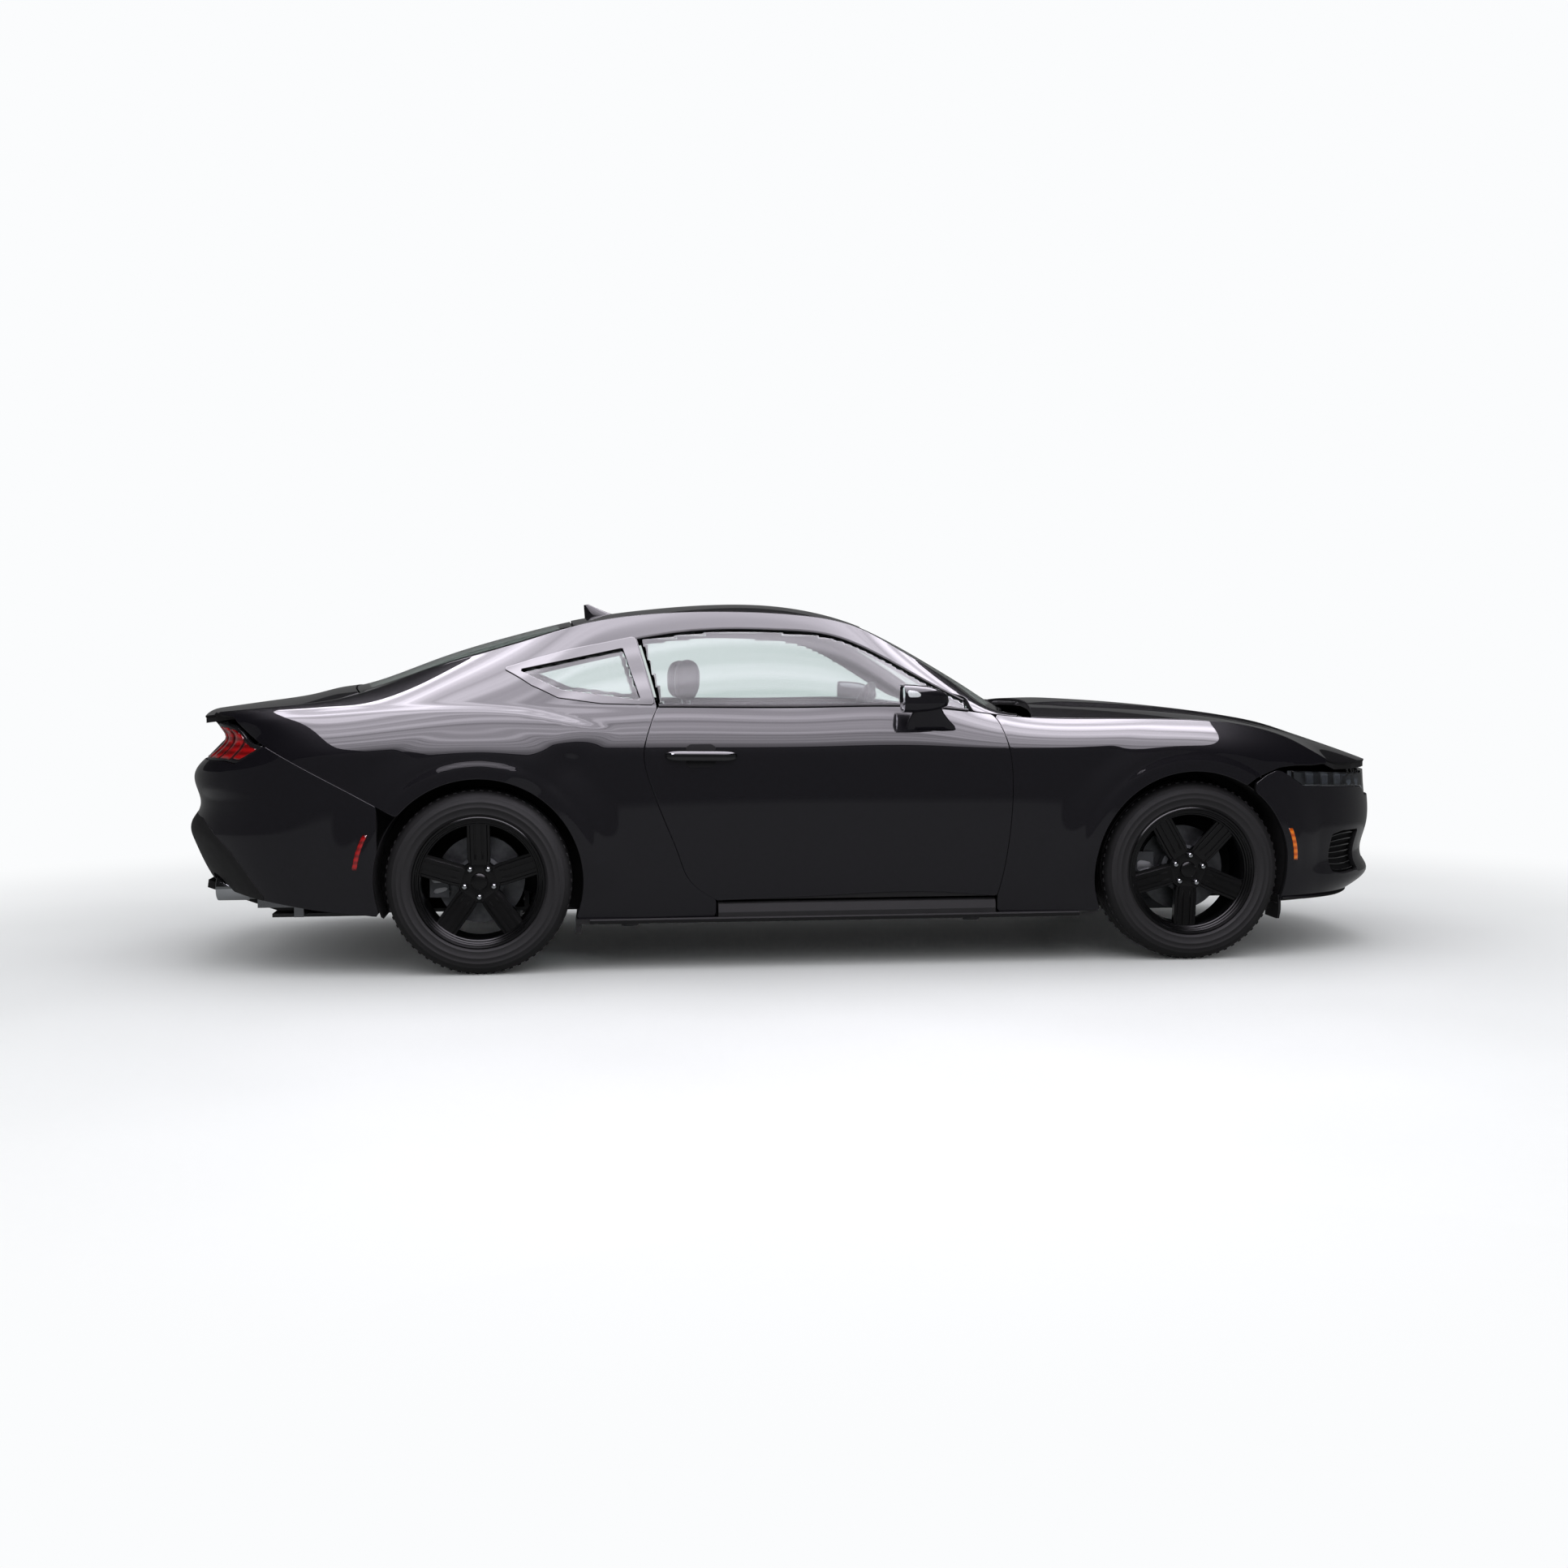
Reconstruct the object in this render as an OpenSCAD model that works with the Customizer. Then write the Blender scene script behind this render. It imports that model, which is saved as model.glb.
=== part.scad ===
// Two-door fastback coupe, in millimetres: +X forward, +Y left, +Z up, standing on Z = 0.

/* [Overall] */
// Length from the nose to the tail
car_length = 4811; // [4650:1:4950]
// Width over the rear haunches
car_width = 1915; // [1850:1:1980]
// Height of the roof above the ground
car_height = 1397; // [1350:1:1450]
// Share of the length between the axles
wheelbase_share = 0.56537; // [0.55:0.00001:0.58]
// Share of the length ahead of the front axle
overhang_share = 0.19643; // [0.185:0.00001:0.205]

/* [Wheels] */
// Distance between the front wheel centres
front_track = 1588; // [1560:1:1610]
// Distance between the rear wheel centres
rear_track = 1648; // [1620:1:1660]
// Outside diameter of the tyre
tyre_d = 690; // [670:1:700]
// Width of the tyre
tyre_w = 245; // [225:1:255]
// Height of the tyre's sidewall over the rim flange
sidewall = 99; // [90:1:110]
// Width of the rim
rim_w = 228; // [205:1:232]
// Room between the rim flange and the brake disc's edge
disc_room = 81; // [75:1:95]
// Room between the tread and the wheel arch
arch_room = 43; // [38:1:55]
// Radius of the bore in the wheel's hub
hub_bore_r = 35.3; // [30:0.1:38]

/* [Panels] */
// Gap round a moving panel
gap = 6; // [5:0.5:8]
// Thickness of a door from skin to trim
door_t = 110; // [90:1:130]
// Thickness of the body side wall
wall_t = 55; // [45:1:70]
// Thickness of the fenders
fender_t = 18; // [12:1:24]
// Thickness of the hood and the deck lid with their frames
lid_t = 26; // [18:1:32]
// Thickness of the roof with its lining
roof_t = 30; // [20:1:40]
// Thickness of a window
glass_t = 6; // [4:0.5:8]
// Thickness of the bumper covers
bumper_t = 34; // [25:1:45]

/* [Mounts] */
// Distance between the two plate screws
plate_hole_span = 178; // [170:1:190]
// Radius of the plate screw holes
plate_hole_r = 3.5; // [2.5:0.1:5]
// Radius of the jacking pads
jack_pad_r = 32; // [26:1:40]

/* [Hidden] */
$fn = 48;

// Landmarks along the car, and maps from the drawn sizes to the set ones
nose_x = car_length / 2;
tail_x = -car_length / 2;
front_axle_x = nose_x - car_length * overhang_share;
rear_axle_x = front_axle_x - car_length * wheelbase_share;
axle_z = tyre_d / 2;
rim_d = tyre_d - 2 * sidewall;
disc_d = rim_d - 2 * disc_room;
arch_r = tyre_d / 2 + arch_room;
x_map = [[-2405.5, tail_x], [-1260.5, rear_axle_x], [1460.5, front_axle_x], [2405.5, nose_x]];
z_map = [[0, 0], [345, axle_z], [1397, car_height]];
function sx(x) = lookup(x, x_map);
function sy(y) = y * car_width / 1915;
function sz(z) = lookup(z, z_map);

// Natural cubic spline through table columns: [places, values, curvatures]
function sweep(x, y, c = [0], d = [0], i = 1) =
    i >= len(x) - 1 ? [c, d] :
    let (h0 = x[i] - x[i - 1], h1 = x[i + 1] - x[i], den = (h0 + h1) / 3 - h0 / 6 * c[i - 1],
         turn = (y[i + 1] - y[i]) / h1 - (y[i] - y[i - 1]) / h0)
    sweep(x, y, concat(c, [h1 / 6 / den]), concat(d, [(turn - h0 / 6 * d[i - 1]) / den]), i + 1);
function unwind(c, d, i, m) = i < 0 ? m : unwind(c, d, i - 1, concat([d[i] - c[i] * m[0]], m));
function curvatures(x, y) = let (cd = sweep(x, y)) unwind(cd[0], cd[1], len(x) - 2, [0]);
function spline(x, y) = [x, y, curvatures(x, y)];
function span(x, t, i = 0) = i >= len(x) - 2 || t < x[i + 1] ? i : span(x, t, i + 1);
function at(s, t) =
    let (x = s[0], i = span(x, t), h = x[i + 1] - x[i], a = (x[i + 1] - t) / h, b = 1 - a)
    a * s[1][i] + b * s[1][i + 1] + ((a * a * a - a) * s[2][i] + (b * b * b - b) * s[2][i + 1]) * h * h / 6;
function mix(a, b, t) = a + (b - a) * t;
function ease(t) = let (u = max(0, min(1, t))) u * u * (3 - 2 * u);
function steps(a, b, n) = [for (i = [0 : n]) mix(a, b, i / n)];

// Body side sections: x, rocker y, waist z, waist y, top edge z, top edge y
rocker_z = sz(200);
side_table = [
    [-2250, 850, 770, 905, 962, 905],
    [-1900, 885, 800, 938, 985, 806],
    [-1600, 900, 820, 941, 1003, 812],
    [-1260, 905, 825, 931, 1003, 838],
    [-900, 895, 815, 938, 992, 848],
    [-600, 885, 808, 935, 990, 852],
    [0, 880, 808, 934, 985, 850],
    [450, 882, 812, 936, 980, 848],
    [800, 885, 815, 939, 942, 808],
    [1100, 893, 815, 937, 932, 802],
    [1460, 905, 810, 925, 925, 808],
    [1700, 900, 780, 930, 900, 820],
    [1900, 888, 735, 932, 835, 859],
    [2060, 875, 690, 915, 752, 905]
];
side_x = [for (r = side_table) sx(r[0])];
rocker_y = spline(side_x, [for (r = side_table) sy(r[1])]);
waist_z = spline(side_x, [for (r = side_table) sz(r[2])]);
waist_y = spline(side_x, [for (r = side_table) sy(r[3])]);
edge_z = spline(side_x, [for (r = side_table) sz(r[4])]);
edge_y = spline(side_x, [for (r = side_table) sy(r[5])]);

// Roof rail, windscreen edge and deck edge: x, y, z, then the centre line's bow in x and its z
rail_table = [
    [-2300, 585, 962, -36, 985],
    [-2116, 648, 984, -14, 1013],
    [-1921, 632, 1003, -28, 1042],
    [-1800, 592, 1024, -50, 1066],
    [-1726, 545, 1047, -60, 1075],
    [-1417, 545, 1150, -45, 1183],
    [-1108, 555, 1238, -30, 1280],
    [-900, 562, 1300, -20, 1332],
    [-600, 570, 1345, 0, 1377],
    [-300, 576, 1352, 0, 1397],
    [0, 585, 1335, 10, 1377],
    [215, 603, 1285, 40, 1306],
    [350, 622, 1212, 75, 1224],
    [500, 648, 1119, 105, 1120],
    [600, 668, 1048, 120, 1050],
    [730, 700, 952, 140, 965],
    [850, 715, 932, 150, 940]
];
rail_x = [for (r = rail_table) sx(r[0])];
rail_y = spline(rail_x, [for (r = rail_table) sy(r[1])]);
rail_z = spline(rail_x, [for (r = rail_table) sz(r[2])]);
crown_bow = spline(rail_x, [for (r = rail_table) sx(r[0] + r[3]) - sx(r[0])]);
crown_z = spline(rail_x, [for (r = rail_table) sz(r[4])]);

// Upper edge of the side windows: x, z
window_table = [[-1153, 1137], [-900, 1190], [-660, 1240], [-500, 1266], [-300, 1279], [-100, 1274],
    [100, 1250], [300, 1158], [500, 1040], [608, 984]];
window_z = spline([for (r = window_table) sx(r[0])], [for (r = window_table) sz(r[1])]);

// Shut lines of the door: z, x at the front, x at the rear
door_table = [[262, 698, -372], [300, 708, -432], [420, 731, -508], [560, 746, -562], [700, 750, -615],
    [820, 738, -640], [900, 718, -622], [960, 685, -600], [990, 640, -586]];
door_z = [for (r = door_table) sz(r[0])];
door_front = spline(door_z, [for (r = door_table) sx(r[1])]);
door_rear = spline(door_z, [for (r = door_table) sx(r[2])]);
door_low_z = door_z[0];
sill_top_z = door_low_z - gap;

// Profiles of the nose and the tail: z, x, then the plan curves' start and powers
nose_table = [[215, 2290], [255, 2365], [295, 2405.5], [345, 2382], [480, 2396], [640, 2394], [745, 2388]];
tail_table = [[240, -2250], [350, -2330], [480, -2392], [535, -2405.5], [620, -2372], [740, -2392],
    [800, -2345], [885, -2262], [950, -2318], [1000, -2338]];
nose_profile = spline([for (r = nose_table) sz(r[0])], [for (r = nose_table) sx(r[1])]);
tail_profile = spline([for (r = tail_table) sz(r[0])], [for (r = tail_table) sx(r[1])]);
nose_start = sx(1500);
tail_start = sx(-1750);
nose_a = 2.4;
nose_b = 2.6;
tail_a = 2.6;
tail_b = 3.6;
function nose_factor(x, z) =
    let (u = max(0, min(1, (x - nose_start) / (at(nose_profile, z) - nose_start))))
    pow(1 - pow(u, nose_a), 1 / nose_b);
function tail_factor(x, z) =
    let (u = max(0, min(1, (tail_start - x) / (tail_start - at(tail_profile, z)))))
    pow(1 - pow(u, tail_a), 1 / tail_b);

// Half width of the body at any place below its top edge: widest at the waist, tucked in below and above
tuck_low = 2.2;
tuck_high = 2;
// Swell of the body towards each wheel arch, ending in a flat lip round the opening
swell_depth = 15;
lip_depth = 7;
lip_w = 62;
swell_w = 130;
lip_step = 40;
function arch_swell(x, z) =
    let (to_front = norm([x - front_axle_x, z - axle_z]), to_rear = norm([x - rear_axle_x, z - axle_z]),
         reach = min(to_front, to_rear) - arch_r - lip_w)
    (swell_depth * ease(1 - reach / swell_w) + lip_depth * ease(0.3 - reach / lip_step))
        * ease((z - sz(260)) / sz(200));
function section_y(x, z) =
    let (zw = at(waist_z, x), yw = at(waist_y, x))
    arch_swell(x, z) +
        (z <= zw ? yw - (yw - at(rocker_y, x)) * pow((zw - z) / (zw - rocker_z), tuck_low)
                 : yw - (yw - at(edge_y, x)) * pow((z - zw) / (at(edge_z, x) - zw), tuck_high));
// Haunch: a pointed bulge behind the door, sharp along its crease and soft along its lower edge
haunch_depth = 15;
haunch_tip = [sx(-715), sz(905)];
haunch_rise = 22;
haunch_soft = 230;
haunch_lean = 1.3;
crease_table = [[-2250, 955], [-1900, 984], [-1600, 1002], [-1300, 1003], [-1100, 990], [-900, 950],
    [-715, 905], [-600, 870]];
crease_z = spline([for (r = crease_table) sx(r[0])], [for (r = crease_table) sz(r[1])]);
function haunch(x, z) =
    haunch_depth * ease((at(crease_z, x) - z) / haunch_rise)
        * ease((haunch_tip[0] - max(0, haunch_tip[1] - z) * haunch_lean - x) / haunch_soft);
function side_y(x, z) =
    (section_y(x, z) + haunch(x, z) - haunch_depth * ease((sx(-600) - x) / 300))
        * nose_factor(x, min(z, sz(745))) * tail_factor(x, z);
function side_point(x, z) = [x, side_y(x, z), z];
// Greenhouse side, from the body's top edge (s = 0) to the rail (s = 1)
side_bulge = 14;
function edge_point(x) = side_point(x, at(edge_z, x));
function rail_point(x) = [x, at(rail_y, x), at(rail_z, x)];
function upper_normal(x) =
    let (e = rail_point(x) - edge_point(x), l = norm(e)) [0, e[2] / l, -e[1] / l];
function upper_point(x, s) =
    mix(edge_point(x), rail_point(x), s) + upper_normal(x) * side_bulge * 4 * s * (1 - s);
// Top skin across the car, from rail to rail (t = -1 to 1)
function crown_point(x, t) =
    let (r = rail_point(x), k = 1 - t * t)
    [x + at(crown_bow, x) * k, r[1] * t, mix(r[2], at(crown_z, x), k)];
window_front_x = sx(608);
function window_s(x) =
    let (u = min(x, window_front_x), e = edge_point(u), r = rail_point(u))
    (at(window_z, u) - e[2]) / (r[2] - e[2]);

// Closed slab between two matching grids of points
module slab(outer, inner) {
    rows = len(outer);
    cols = len(outer[0]);
    count = rows * cols;
    points = concat([for (r = outer) each r], [for (r = inner) each r]);
    skins = [for (j = [0 : rows - 2], i = [0 : cols - 2])
        let (a = j * cols + i, b = a + 1, c = a + cols, d = c + 1)
        each [[a, c, b], [b, c, d], [count + a, count + b, count + c], [count + b, count + d, count + c]]];
    ends = [for (i = [0 : cols - 2], j = [0, rows - 1])
        let (a = j * cols + i, b = a + 1)
        each j == 0 ? [[a, b, count + a], [b, count + b, count + a]]
                    : [[b, a, count + b], [a, count + a, count + b]]];
    sides = [for (j = [0 : rows - 2], i = [0, cols - 1])
        let (a = j * cols + i, c = a + cols)
        each i == 0 ? [[c, a, count + c], [a, count + a, count + c]]
                    : [[a, c, count + a], [c, count + c, count + a]]];
    faces = concat(skins, ends, sides);
    swept = [for (f = faces) points[f[0]] * cross(points[f[1]], points[f[2]])] * [for (f = faces) 1];
    polyhedron(points, swept < 0 ? faces : [for (f = faces) [f[0], f[2], f[1]]]);
}
function lowered(grid, d) = [for (r = grid) [for (p = r) p - [0, 0, d]]];
module both() {
    children();
    mirror([0, 1, 0]) children();
}
module rounded_box(size, r) {
    linear_extrude(size[2], center = true)
        offset(r) square([size[0] - 2 * r, size[1] - 2 * r], center = true);
}

// Top skin panels share their stations with the rails, so that their edges meet
pillar_lean = 95;
pillar_x = sx(-588) - gap;
function pillar_front(s) = pillar_x - pillar_lean * s;
crown_cols = 8;
screen_stations = steps(sx(730), sx(215), 6);
rail_stations = steps(sx(215), pillar_front(1), 7);
rear_rail_stations = steps(pillar_front(1), sx(-900), 2);
back_stations = steps(sx(-900), sx(-1726), 8);
roof_stations = concat(rail_stations, [for (i = [1 : 2]) rear_rail_stations[i]]);
deck_stations = steps(sx(-1726) - gap, sx(-2300), 7);
function crown_grid(stations, reach) =
    [for (x = stations) [for (t = steps(1, -1, crown_cols)) crown_point(x, t * reach)]];
module crown_slab(stations, t, reach = 1) {
    grid = crown_grid(stations, reach);
    slab(grid, lowered(grid, t));
}
module roof_panel() color("black") crown_slab(roof_stations, roof_t);
module windshield() color([0.3, 0.35, 0.38, 0.5]) crown_slab(screen_stations, glass_t);
module rear_window() color([0.2, 0.22, 0.25, 0.6]) crown_slab(back_stations, glass_t);

// Rail and windscreen pillar above the door, then the quarter panel and the rear pillar
function inward(x, s, t) =
    let (n = mix(upper_normal(x), [0, 0, 1], s)) upper_point(x, s) - n / norm(n) * t;
function rail_low_s(x) =
    max(window_s(x), 0) + (gap + glass_t) / norm(rail_point(x) - edge_point(x))
        + 0.15 * ease((x - sx(540)) / 60);
pillar_s = rail_low_s(pillar_front(0.74));
rail_rows = 2;
rail_columns = concat([sx(800)], screen_stations, [for (i = [1 : 6]) rail_stations[i]]);
function rail_spot(i, j) =
    i < len(rail_columns)
        ? let (x = rail_columns[i]) [x, mix(rail_low_s(x), 1, j / rail_rows)]
        : let (s = mix(pillar_s, 1, j / rail_rows)) [pillar_front(s), s];
module rail() {
    spots = [for (i = [0 : len(rail_columns)]) [for (j = [0 : rail_rows]) rail_spot(i, j)]];
    slab([for (c = spots) [for (p = c) upper_point(p[0], p[1])]],
         [for (c = spots) [for (p = c) inward(p[0], p[1], wall_t)]]);
}
quarter_low = [[sx(-2200), sz(800)], [sx(-2040), sz(860)], [sx(-1575), sz(604)], [sx(-1300), sz(500)],
    [sx(-1000), rocker_z], [sx(-400), rocker_z]];
quarter_end_x = sx(-2265);
quarter_rail = concat(rear_rail_stations, [for (i = [1 : 8]) back_stations[i]],
                      steps(sx(-1820), quarter_end_x, 4));
quarter_share = [for (x = quarter_rail) (x - quarter_rail[0]) / (quarter_end_x - quarter_rail[0])];
side_rows = 8;
// Rows of the side panels as shares of their height, level with the rows of the door
function side_shares(e) =
    concat([0], [for (v = steps(0, 1, side_rows)) (mix(door_low_z, e, v) - rocker_z) / (e - rocker_z)]);
wall_end_t = 14;
quarter_tip_x = sx(-2040);
tip_lean = 130;
// Rows of the quarter: below the top edge as shares of height, above it as shares of the rise to the rail
upper_rows = [pillar_s / 2, pillar_s, mix(pillar_s, 1, 0.5), 1];
function quarter_thin(k, t) = mix(t, min(t, wall_end_t), ease((quarter_share[k] - 0.7) / 0.2));
function quarter_side(k, v, t) =
    let (z0 = mix(rocker_z, at(edge_z, 0), v), front = at(door_rear, max(z0, door_low_z)) - gap,
         x = mix(front, quarter_tip_x - tip_lean * v, quarter_share[k]),
         z = mix(lookup(x, quarter_low), at(edge_z, x), v))
    side_point(x, z) - [0, quarter_thin(k, t), 0];
function quarter_upper(k, s, t) =
    let (x = mix(pillar_front(s), mix(quarter_tip_x - tip_lean, quarter_end_x, s), quarter_share[k]))
    inward(x, s, quarter_thin(k, t));
function quarter_grid(t) =
    [for (k = [0 : len(quarter_rail) - 1])
        concat([for (v = side_shares(at(edge_z, 0))) quarter_side(k, v, t)],
               [for (s = upper_rows) quarter_upper(k, s, t)])];
module arch(x) translate([x, sy(400), axle_z]) rotate([-90, 0, 0]) cylinder(r = arch_r, h = sy(700), $fn = 96);
// Corners of the quarter window: x, z
quarter_window_table = [[-640, 1008], [-708, 1218], [-1128, 1132], [-952, 1050]];
window_middle = [sx(-857), sz(1102)];
module quarter_prism(share = 1)
    translate([0, sy(1000), 0]) rotate([90, 0, 0]) linear_extrude(sy(700))
        polygon([for (r = quarter_window_table) mix(window_middle, [sx(r[0]), sz(r[1])], share)]);
// Post that carries the door's hinges, just ahead of the shut line
post_size = [80, sy(130), sz(850) - rocker_z];
module hinge_post() translate([sx(762), sy(700), rocker_z]) cube(post_size);
module body_side() {
    difference() {
        union() {
            rail();
            slab(quarter_grid(0), quarter_grid(wall_t));
            hinge_post();
        }
        arch(rear_axle_x);
        quarter_prism();
    }
}
module body_sides() color("black") both() body_side();
module quarter_window() {
    spots = [for (x = steps(sx(-600), sx(-1190), 5)) [for (s = [0, 0.35, 0.7, 0.95]) [x, s]]];
    intersection() {
        slab([for (c = spots) [for (p = c) upper_point(p[0], p[1])]],
             [for (c = spots) [for (p = c) upper_point(p[0], p[1]) - upper_normal(p[0]) * glass_t]]);
        quarter_prism(0.985);
    }
}
module quarter_windows() color([0.2, 0.22, 0.25, 0.6]) both() quarter_window();

// Front fender, from the door's shut line to the headlamp
fender_low = [[sx(600), rocker_z], [sx(1100), rocker_z], [sx(1460), sz(450)], [sx(1700), sz(700)],
    [sx(1800), sz(740)], [sx(2046), sz(750)]];
fender_tip_x = sx(2040);
fender_cols = 20;
function fender_spot(i, v) =
    let (z0 = mix(rocker_z, at(edge_z, sx(760)), v), rear = at(door_front, max(z0, door_low_z)) + gap,
         x = mix(rear, fender_tip_x, i / fender_cols))
    [x, mix(lookup(x, fender_low), at(edge_z, x), v)];
// The fender thins towards its pointed front end
function fender_thin(i) = mix(1, 0.35, ease((i / fender_cols - 0.7) / 0.25));
function fender_point(i, v, t) =
    let (p = fender_spot(i, v), turn = 90 * v * v * v)
    side_point(p[0], p[1]) - t * fender_thin(i) * [0, cos(turn), sin(turn)];
function fender_grid(t) =
    [for (i = [0 : fender_cols]) [for (v = side_shares(at(edge_z, sx(760)))) fender_point(i, v, t)]];
module fender() difference() {
    slab(fender_grid(0), fender_grid(fender_t));
    arch(front_axle_x);
}
module fenders() color("black") both() fender();

// Door, a thick slab between its shut lines, thinner at the upper front corner
door_cols = 10;
inset_front = 15;
inset_rear = 38;
thin_t = 22;
function door_depth(x, v) = mix(door_t, thin_t, ease((x - sx(330)) / 220) * ease((v - 0.45) / 0.35));
function door_point(i, v, inside) =
    let (z0 = mix(door_low_z, at(edge_z, 0), v),
         rear = at(door_rear, z0) + inset_rear * inside, front = at(door_front, z0) - inset_front * inside,
         x = mix(rear, front, i / door_cols), z = mix(door_low_z, at(edge_z, x), v))
    side_point(x, z) - [0, door_depth(x, v) * inside, 0];
function door_grid(inside) =
    [for (i = [0 : door_cols]) [for (v = steps(0, 1, side_rows)) door_point(door_cols - i, v, inside)]];
handle_x = sx(-430);
handle_z = sz(808);
handle_size = [265, 44, 46];
module door() color("black") difference() {
    slab(door_grid(0), door_grid(1));
    translate([handle_x, side_y(handle_x, handle_z), handle_z]) cube([285, 60, 70], center = true);
}
module handle() color("dimgray")
    translate([handle_x, side_y(handle_x, handle_z) - 8, handle_z])
        rotate([90, 0, 0]) rounded_box([handle_size[0], handle_size[2], handle_size[1]], 20);
glass_cols = 10;
glass_rows = 3;
function glass_point(i, j) =
    let (front = window_front_x - gap, s_share = j / glass_rows,
         rear = pillar_front(s_share * pillar_s) + 2 * gap,
         x = mix(front, rear, i / glass_cols), s = s_share * max(window_s(x), 0.02))
    [x, s];
module door_glass() color([0.25, 0.3, 0.32, 0.5]) {
    spots = [for (i = [0 : glass_cols]) [for (j = [0 : glass_rows]) glass_point(i, j)]];
    slab([for (c = spots) [for (p = c) upper_point(p[0], p[1])]],
         [for (c = spots) [for (p = c) upper_point(p[0], p[1]) - upper_normal(p[0]) * glass_t]]);
}
// Mirror: a housing on two arms that stand off the door's shoulder
mirror_x = sx(325);
mirror_z = sz(1018);
mirror_len = 175;
mirror_foot = [190, 20, 34];
module mirror_end(y, w, h, r) rotate([90, 0, 90]) translate([y, 0])
    linear_extrude(6) offset(r) square([w - 2 * r, h - 2 * r], center = true);
module mirror_housing() color("black") union() {
    translate([mirror_x, 0, mirror_z]) hull() {
        mirror_end(sy(962), 136, 106, 34);
        translate([mirror_len / 2, 0, -2]) mirror_end(sy(958), 124, 96, 34);
        translate([mirror_len, 0, -8]) mirror_end(sy(948), 76, 50, 24);
    }
    hull() {
        translate([mirror_x + 95, sy(938), mirror_z - 44]) cube([110, 50, 20], center = true);
        translate([mirror_x + 95, side_y(mirror_x + 95, sz(905)) + 6, sz(900)])
            cube(mirror_foot, center = true);
    }
}
module door_left() door();
module door_right() mirror([0, 1, 0]) door();
module handle_left() handle();
module handle_right() mirror([0, 1, 0]) handle();
module door_glass_left() door_glass();
module door_glass_right() mirror([0, 1, 0]) door_glass();
module mirror_left() mirror_housing();
module mirror_right() mirror([0, 1, 0]) mirror_housing();

// Hood: centre profile and side profile, x and z
hood_table = [[850, 1003], [1300, 980], [1650, 942], [1950, 888], [2150, 832], [2300, 780], [2400, 740]];
hood_side_table = [[850, 938], [1100, 932], [1460, 925], [1700, 900], [1900, 835], [2046, 760], [2256, 700],
    [2400, 650]];
hood_centre = spline([for (r = hood_table) sx(r[0])], [for (r = hood_table) sz(r[1])]);
hood_side = spline([for (r = hood_side_table) sx(r[0])], [for (r = hood_side_table) sz(r[1])]);
hood_rear_x = sx(850) + gap;
hood_rear_bow = sx(945) - sx(850);
hood_top_z = sz(745);
nose_half_w = at(waist_y, sx(2060));
function nose_edge_x(y) =
    nose_start + (at(nose_profile, hood_top_z) - nose_start)
        * pow(max(0, 1 - pow(abs(y) / nose_half_w, nose_b)), 1 / nose_a);
hood_tip_room = 5;
function hood_half_w(x) =
    edge_point(min(x, fender_tip_x))[1] - gap - hood_tip_room * ease((x - sx(1850)) / 150);
hood_power = 2.6;
// Raised middle of the hood, with a sloping shoulder at each side
dome_h = 12;
dome_share = 0.6;
dome_slope = 0.1;
function hood_dome(x, t) =
    dome_h * ease((dome_share - t) / dome_slope) * ease((x - hood_rear_x) / 250) * ease((sx(2300) - x) / 500);
function hood_z(x, y) =
    let (t = abs(y) / hood_half_w(x))
    mix(at(hood_centre, x) - dome_h / 2, at(hood_side, x), pow(t, hood_power)) + hood_dome(x, t);
function hood_point(a, t) =
    let (y = t * hood_half_w(mix(hood_rear_x, fender_tip_x, a)),
         rear = hood_rear_x + hood_rear_bow * (1 - t * t), x = mix(rear, nose_edge_x(y) - gap, a))
    [x, y, hood_z(x, y)];
hood_rows = 14;
hood_shares = [1, 0.88, 0.74, 0.6, 0.55, 0.5, 0.25, 0, -0.25, -0.5, -0.55, -0.6, -0.74, -0.88, -1];
module hood() color("black") {
    grid = [for (a = steps(1, 0, hood_rows)) [for (t = hood_shares) hood_point(a, t)]];
    slab(grid, lowered(grid, lid_t));
}

// Nose and tail skins by turn about the corner: 0 along the side, 90 at the centre, below 0 ahead of the corner
function low_section_y(x, z) = section_y(x, min(z, at(waist_z, x)));
function nose_point(turn, z, depth = 0) =
    let (x = nose_start + (at(nose_profile, z) - nose_start) * pow(sin(turn), 2 / nose_a),
         y = low_section_y(min(x, sx(2000)), z) * pow(max(0, cos(turn)), 2 / nose_b))
    [x - depth * sin(turn), y - depth * cos(turn), z];
side_step = 12;
seam = 3;
function tail_point(turn, z, depth = 0) =
    let (a = max(0, turn),
         x = tail_start - side_step * min(0, turn)
             + (at(tail_profile, z) - tail_start) * pow(sin(a), 2 / tail_a),
         y = low_section_y(max(x, sx(-2200)), z) * pow(max(0, cos(a)), 2 / tail_b))
    [x + depth * sin(a), y - depth * cos(a), z];
function flip(p) = [p[0], -p[1], p[2]];
// Turn against height of the lower and the upper edges round the nose and the tail
bumper_turns = [9.7, 12.5, 15.7, 19, 23, 30, 37, 45, 53, 57, 68, 79, 90];
bumper_high = [[9.7, 680], [12.5, 710], [15.7, 730], [19, 702], [23, 662], [37, 652], [53, 642],
    [57, 602], [90, 598]];
bumper_rows = [0, 0.1, 0.2068, 0.34, 0.6, 1];
nose_low_z = 216;
function nose_column(turn, low, high, rows, depth) =
    [for (r = rows) nose_point(turn, sz(mix(low, high, r)), depth)];
function both_halves(half) =
    concat(half, [for (i = [len(half) - 2 : -1 : 0]) [for (p = half[i]) flip(p)]]);
function whole_nose(turns, rows, depth) =
    both_halves([for (a = turns) nose_column(a, nose_low_z, lookup(a, bumper_high), rows, depth)]);
intake_half_w = 500;
intake_low_z = 338;
intake_high_z = 452;
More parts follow.
